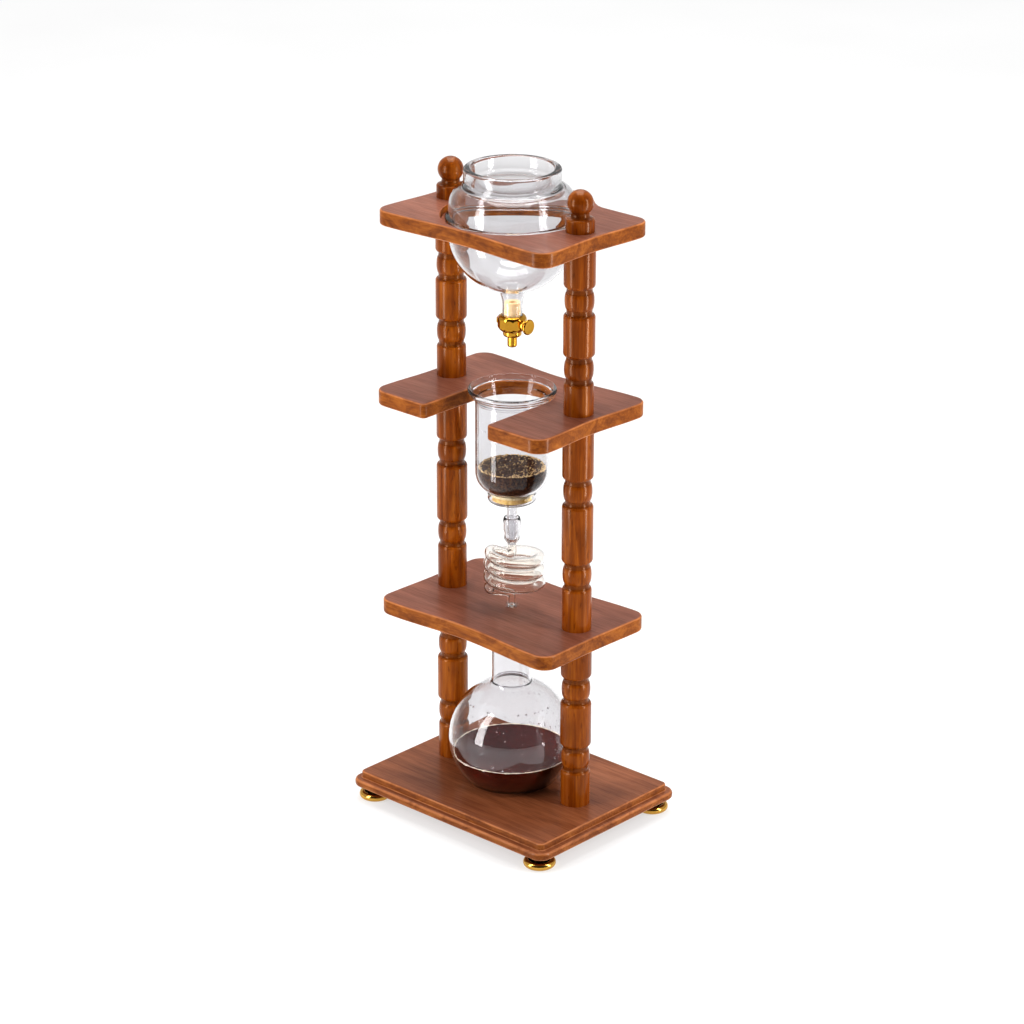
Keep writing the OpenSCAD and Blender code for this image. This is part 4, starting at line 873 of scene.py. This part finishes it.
PER_TURN, PER_BEND = 72, 36
end_a = START_A + 360 * TURNS
in_z, out_z = inlet_z - INLET_D, LOWER_TOP + SPOUT_H + SPOUT_D
start, end = helix_point(START_A), helix_point(end_a)
path = [Vector((0, 0, inlet_z))] + [Vector((0, 0, inlet_z - INLET_D * i / 4)) for i in range(1, 4)]
path += [bezier(Vector((0, 0, in_z)), Vector((0, 0, in_z - 6)), start - BEND_PULL * helix_way(START_A),
                start, i / PER_BEND) for i in range(PER_BEND)]
first = len(path)
path += [helix_point(START_A + 360 * i / PER_TURN) for i in range(PER_TURN * TURNS + 1)]
last = len(path) - 1
path += [bezier(end, end + BEND_PULL * helix_way(end_a), Vector((0, 0, out_z + 9)),
                Vector((0, 0, out_z)), i / PER_BEND) for i in range(1, PER_BEND + 1)]
path += [Vector((0, 0, LOWER_TOP + SPOUT_H + SPOUT_D * (3 - i) / 4)) for i in range(0, 4)]
count = len(path)


def tube_r(i):
    """The tube's radius: it opens into the helix and closes again towards the spout."""
    opening = fade01((i - first + 9) / 21)
    closing = fade01((i - last + 9) / 27)
    return (INLET_D + (TUBE_D - INLET_D) * opening + (SPOUT_D - TUBE_D) * closing) / 2


ways = [Vector((0, 0, -1)) if i in (0, count - 1) else (path[i + 1] - path[i - 1]).normalized()
        for i in range(count)]
sides, u = [], Vector((1, 0, 0))
for w in ways:
    u = (u - u.dot(w) * w).normalized()
    sides.append(u)
SIDES = 24
bm = bmesh.new()
shells = []
for wall in (0.0, TUBE_WALL):
    rows = []
    for i in range(count):
        r = tube_r(i) - wall
        v = ways[i].cross(sides[i])
        around = [2 * math.pi * k / SIDES for k in range(SIDES)]
        rows.append([bm.verts.new(path[i] + Vector((0, GLASS_Y, 0))
                                  + r * (math.cos(a) * sides[i] + math.sin(a) * v)) for a in around])
    for a, b in zip(rows, rows[1:]):
        bridge(bm, a, b)
    shells.append(rows)
bridge(bm, shells[0][0], shells[1][0])
bridge(bm, shells[0][-1], shells[1][-1])
finish_mesh("coil_tube", bm, BLOWN, "coil", ["glass_coil"], sharp=80, merge=0.00001)

# Socket that takes the chamber's drip stem
SOCKET_H = 25.5
mouth = inlet_z + SOCKET_H
socket = (curve_through([(INLET_D / 2, inlet_z), (INLET_D / 2 + 0.3, inlet_z + 0.8),
                         (5.6, inlet_z + 2.6), (6.88, inlet_z + 5.2), (6.9, inlet_z + 8),
                         (6.9, inlet_z + 11), (7.7, inlet_z + 13.4), (8.0, inlet_z + 15),
                         (8.0, mouth - 4), (7.6, mouth - 1.2), (7.2, mouth)], 5)
          + curve_through([(STEM_R + 1.2, mouth), (STEM_R + 1.15, mouth - 4),
                           (STEM_R + 1.0, inlet_z + 15), (STEM_R + 0.6, inlet_z + 11.5),
                           (STEM_R + 0.6, inlet_z + 6), (INLET_D / 2 - TUBE_WALL, inlet_z + 1.8),
                           (INLET_D / 2 - TUBE_WALL, inlet_z)], 5))
lathe("coil_socket_glass", socket, GLASS, "coil", ["coil_socket"], closed=True, sharp=80,
      segs=64)

# ---------------------------------------------------------------- flask and coffee
foot_r = math.sqrt(FLASK_R ** 2 - FLASK_CENTRE_H ** 2)
in_r = FLASK_R - FLASK_WALL
lip_z = BASE_TOP + FLASK_H
a_foot = -asind(FLASK_CENTRE_H / FLASK_R)
a_neck = acosd((NECK_R + 2) / FLASK_R)
in_foot = -asind((FLASK_CENTRE_H - FLASK_WALL) / in_r)
in_neck = acosd(NECK_R / in_r)
top_z = BODY_Z + FLASK_R * sind(a_neck)
outer = ([(0.0, BASE_TOP + 0.6), (foot_r - 12, BASE_TOP + 0.5), (foot_r - 5, BASE_TOP)]
         + arc(foot_r - 5.0, BASE_TOP + 5.0, 5.0, -88, -50, 6)
         + arc(0, BODY_Z, FLASK_R, a_foot + 4, a_neck - 1, 60)
         + curve_through([(NECK_R + 1.9, top_z + 0.3), (NECK_R + 0.9, top_z + 1.5),
                          (NECK_R + 0.25, top_z + 3.2), (NECK_R, top_z + 5.5), (NECK_R, lip_z - 6.5),
                          (NECK_R + 0.3, lip_z - 4.8)], 5)
         + arc(NECK_R - 0.4, lip_z - 2.4, 2.2, -55, 90, 10))
inner = (curve_through([(NECK_R - FLASK_WALL + 0.3, lip_z - 0.7), (NECK_R - FLASK_WALL, lip_z - 3),
                        (NECK_R - FLASK_WALL, top_z + 6), (NECK_R - FLASK_WALL + 0.5, top_z + 3.0)], 5)
         + arc(0, BODY_Z, in_r, in_neck, in_foot + 6, 60)
         + [(foot_r - 7, BASE_TOP + FLASK_WALL + 0.3), (foot_r - 14, BASE_TOP + FLASK_WALL + 0.4),
            (0.0, BASE_TOP + FLASK_WALL + 0.5)])
lathe("flask_glass", outer + inner, GLASS, "flask", ["flask"], sharp=80, segs=128)

liquid_r = in_r - 0.06
low = BASE_TOP + FLASK_WALL + 0.55
a0 = -asind((BODY_Z - low - 1) / liquid_r)
a1 = -asind((BODY_Z - COFFEE_Z) / liquid_r)
level_r = liquid_r * cosd(a1)
prof = ([(0.0, low), (foot_r - 8, low)] + arc(0, BODY_Z, liquid_r, a0 + 4, a1, 40)
        + [(level_r - 0.7, COFFEE_Z - 0.35), (level_r - 1.8, COFFEE_Z - 0.5),
           (level_r * 0.6, COFFEE_Z - 0.5), (0.0, COFFEE_Z - 0.5)])
lathe("coffee_liquid", prof, COFFEE, "flask", ["brewed_coffee"], sharp=50, segs=128)

# Foam line where the coffee meets the glass
rng = random.Random(4)
bm = bmesh.new()
FOAM_STEPS, FOAM_SIDES = 260, 8
rows = []
for k in range(FOAM_STEPS):
    a = 2 * math.pi * k / FOAM_STEPS
    size = 0.62 + 0.30 * math.sin(9 * a + 1) * math.sin(23 * a) + rng.uniform(-0.14, 0.2)
    rc = level_r - 0.75
    ring = []
    for j in range(FOAM_SIDES):
        b = 2 * math.pi * j / FOAM_SIDES
        rr = rc + size * math.cos(b) * 0.9
        ring.append(bm.verts.new((rr * math.cos(a), GLASS_Y + rr * math.sin(a),
                                  COFFEE_Z - 0.15 + size * 0.75 * math.sin(b))))
    rows.append(ring)
for a, b in zip(rows, rows[1:] + rows[:1]):
    bridge(bm, a, b)
finish_mesh("coffee_foam_line", bm, FOAM, "flask", sharp=80)

# Condensation on the inside of the flask, thicker near the coffee
places = []
for _ in range(FLASK_DROPS):
    a = rng.uniform(0, 2 * math.pi)
    lift = -6 + 62 * rng.random() ** 1.6
    zz = min(lift, 44)
    ang = math.asin((zz - 6) / in_r)
    r = (0.32 + 0.9 * rng.random() ** 3) * (1.3 if zz < 8 else 0.9)
    rr = (in_r - r * 0.28) * math.cos(ang)
    nx, ny, nz = -math.cos(a) * math.cos(ang), -math.sin(a) * math.cos(ang), -math.sin(ang)
    z_here = BODY_Z + (in_r - r * 0.28) * math.sin(ang)
    if z_here < COFFEE_Z + 1.2:
        continue
    places.append((rr * math.cos(a), GLASS_Y + rr * math.sin(a), z_here, r, (nx, ny, nz)))
blobs("flask_drops", places, WATER, "flask", 7, squash=0.45)

# And a few inside the chamber
places = []
for _ in range(CHAMBER_DROPS):
    a = rng.uniform(0, 2 * math.pi)
    zz = rng.uniform(bed_top + 3, MIDDLE_TOP - 14)
    r = 0.2 + 0.45 * rng.random() ** 2
    rr = CHAMBER_R - CHAMBER_WALL - r * 0.25
    inward = (-math.cos(a), -math.sin(a), 0)
    places.append((rr * math.cos(a), GLASS_Y + rr * math.sin(a), zz, r, inward))
blobs("chamber_drops", places, WATER, "chamber", 9, squash=0.45)

# ---------------------------------------------------------------- camera, at the photograph's view
# Fitted to the photograph: angles, distance and offsets in millimetres, and focal length in pixels
az, el, roll = math.radians(42.5547), math.radians(21.5229), math.radians(0.1110)
CAM_BACK, CAM_RIGHT, CAM_UP = 3308.94, 1.16, -243.35
FOCAL_PX, PHOTO_PX, SENSOR = 3595.06, 1024, 36.0
back = Vector((math.sin(az) * math.cos(el), -math.cos(az) * math.cos(el), math.sin(el)))
right0 = Vector((math.cos(az), math.sin(az), 0))
up0 = back.cross(right0)
right = math.cos(roll) * right0 + math.sin(roll) * up0
up = -math.sin(roll) * right0 + math.cos(roll) * up0
spot = (back * CAM_BACK - right * CAM_RIGHT - up * CAM_UP + Vector((0, 0, BASE_TOP))) * MM
cam_data = bpy.data.cameras.new("camera")
cam = bpy.data.objects.new("camera", cam_data)
scene.collection.objects.link(cam)
cam.matrix_world = Matrix(((right.x, up.x, back.x, spot.x), (right.y, up.y, back.y, spot.y),
                           (right.z, up.z, back.z, spot.z), (0, 0, 0, 1)))
cam_data.sensor_fit = "HORIZONTAL"
cam_data.sensor_width = SENSOR
cam_data.lens = FOCAL_PX / PHOTO_PX * SENSOR
cam_data.clip_end = 30.0
cam_data.dof.use_dof = False
bpy.context.scene.camera = cam

# ---------------------------------------------------------------- floor and light
mat, nt, bsdf, _ = new_material("studio_floor")
n = noise(nt, mapping(nt, (3, 3, 3)), 1.0, 2, 0.5)
pale = ramp(nt, n, [(0.3, (0.35, 0.35, 0.35)), (0.7, (0.37, 0.37, 0.37))])
nt.links.new(pale, bsdf.inputs["Base Color"])
bsdf.inputs["Roughness"].default_value = 0.9
bsdf.inputs["Emission Color"].default_value = (1, 1, 1, 1)
bsdf.inputs["Emission Strength"].default_value = 0.5
FLOOR = 14
mesh = bpy.data.meshes.new("floor")
mesh.from_pydata([(-FLOOR, -FLOOR, 0), (FLOOR, -FLOOR, 0), (FLOOR, FLOOR, 0), (-FLOOR, FLOOR, 0)], [],
                 [(0, 1, 2, 3)])
mesh.materials.append(mat)
floor = bpy.data.objects.new("floor", mesh)
scene.collection.objects.link(floor)

# Bright all round and overhead, dark where the photographer stands
TO_CAMERA = Vector((math.sin(az), -math.cos(az), 0))
TO_RIGHT = Vector((math.cos(az), math.sin(az), 0))
world = bpy.data.worlds.new("studio")
scene.world = world
world.use_nodes = True
nt = world.node_tree
bg = nt.nodes["Background"]
tc = nt.nodes.new("ShaderNodeTexCoord")
dot = nt.nodes.new("ShaderNodeVectorMath")
dot.operation = "DOT_PRODUCT"
dot.inputs[1].default_value = TO_CAMERA
nt.links.new(tc.outputs["Generated"], dot.inputs[0])
facing = math_node(nt, "ADD", math_node(nt, "MULTIPLY", dot.outputs["Value"], 0.5), 0.5)
sky = ramp(nt, facing, [(0.0, (1.0, 1.0, 1.0)), (0.60, (0.95, 0.95, 0.95)), (0.78, (0.16, 0.15, 0.15)),
                        (1.0, (0.04, 0.04, 0.04))])
nt.links.new(sky, bg.inputs["Color"])
bg.inputs["Strength"].default_value = 0.60


def softbox(name, at, towards, w, h, power):
    data = bpy.data.lights.new(name, "AREA")
    data.shape = "RECTANGLE"
    data.size, data.size_y = w, h
    data.energy = power
    ob = bpy.data.objects.new(name, data)
    scene.collection.objects.link(ob)
    ob.location = at
    ob.rotation_euler = (Vector(towards) - Vector(at)).to_track_quat("-Z", "Y").to_euler()


def beside(towards_camera, to_right, z):
    """A place in metres, as the photographer sees it."""
    spot_at = TO_CAMERA * towards_camera + TO_RIGHT * to_right
    return (spot_at.x, spot_at.y, z)


softbox("overhead", beside(-0.4, 0.0, 2.6), (0, 0, 0.2), 1.5, 1.5, 40)
softbox("back_top", beside(-2.6, 0.0, 3.2), beside(-2.0, 0.0, 0.0), 2.6, 2.6, 36)
softbox("left_box", beside(0.36, -0.62, 0.50), (0, 0, 0.46), 0.20, 0.95, 4.8)
softbox("right_box", beside(0.34, 0.62, 0.50), (0, 0, 0.46), 0.13, 0.95, 4.8)

scene.view_settings.view_transform = "Standard"
scene.view_settings.look = "Medium High Contrast"
scene.view_settings.exposure = 0.0
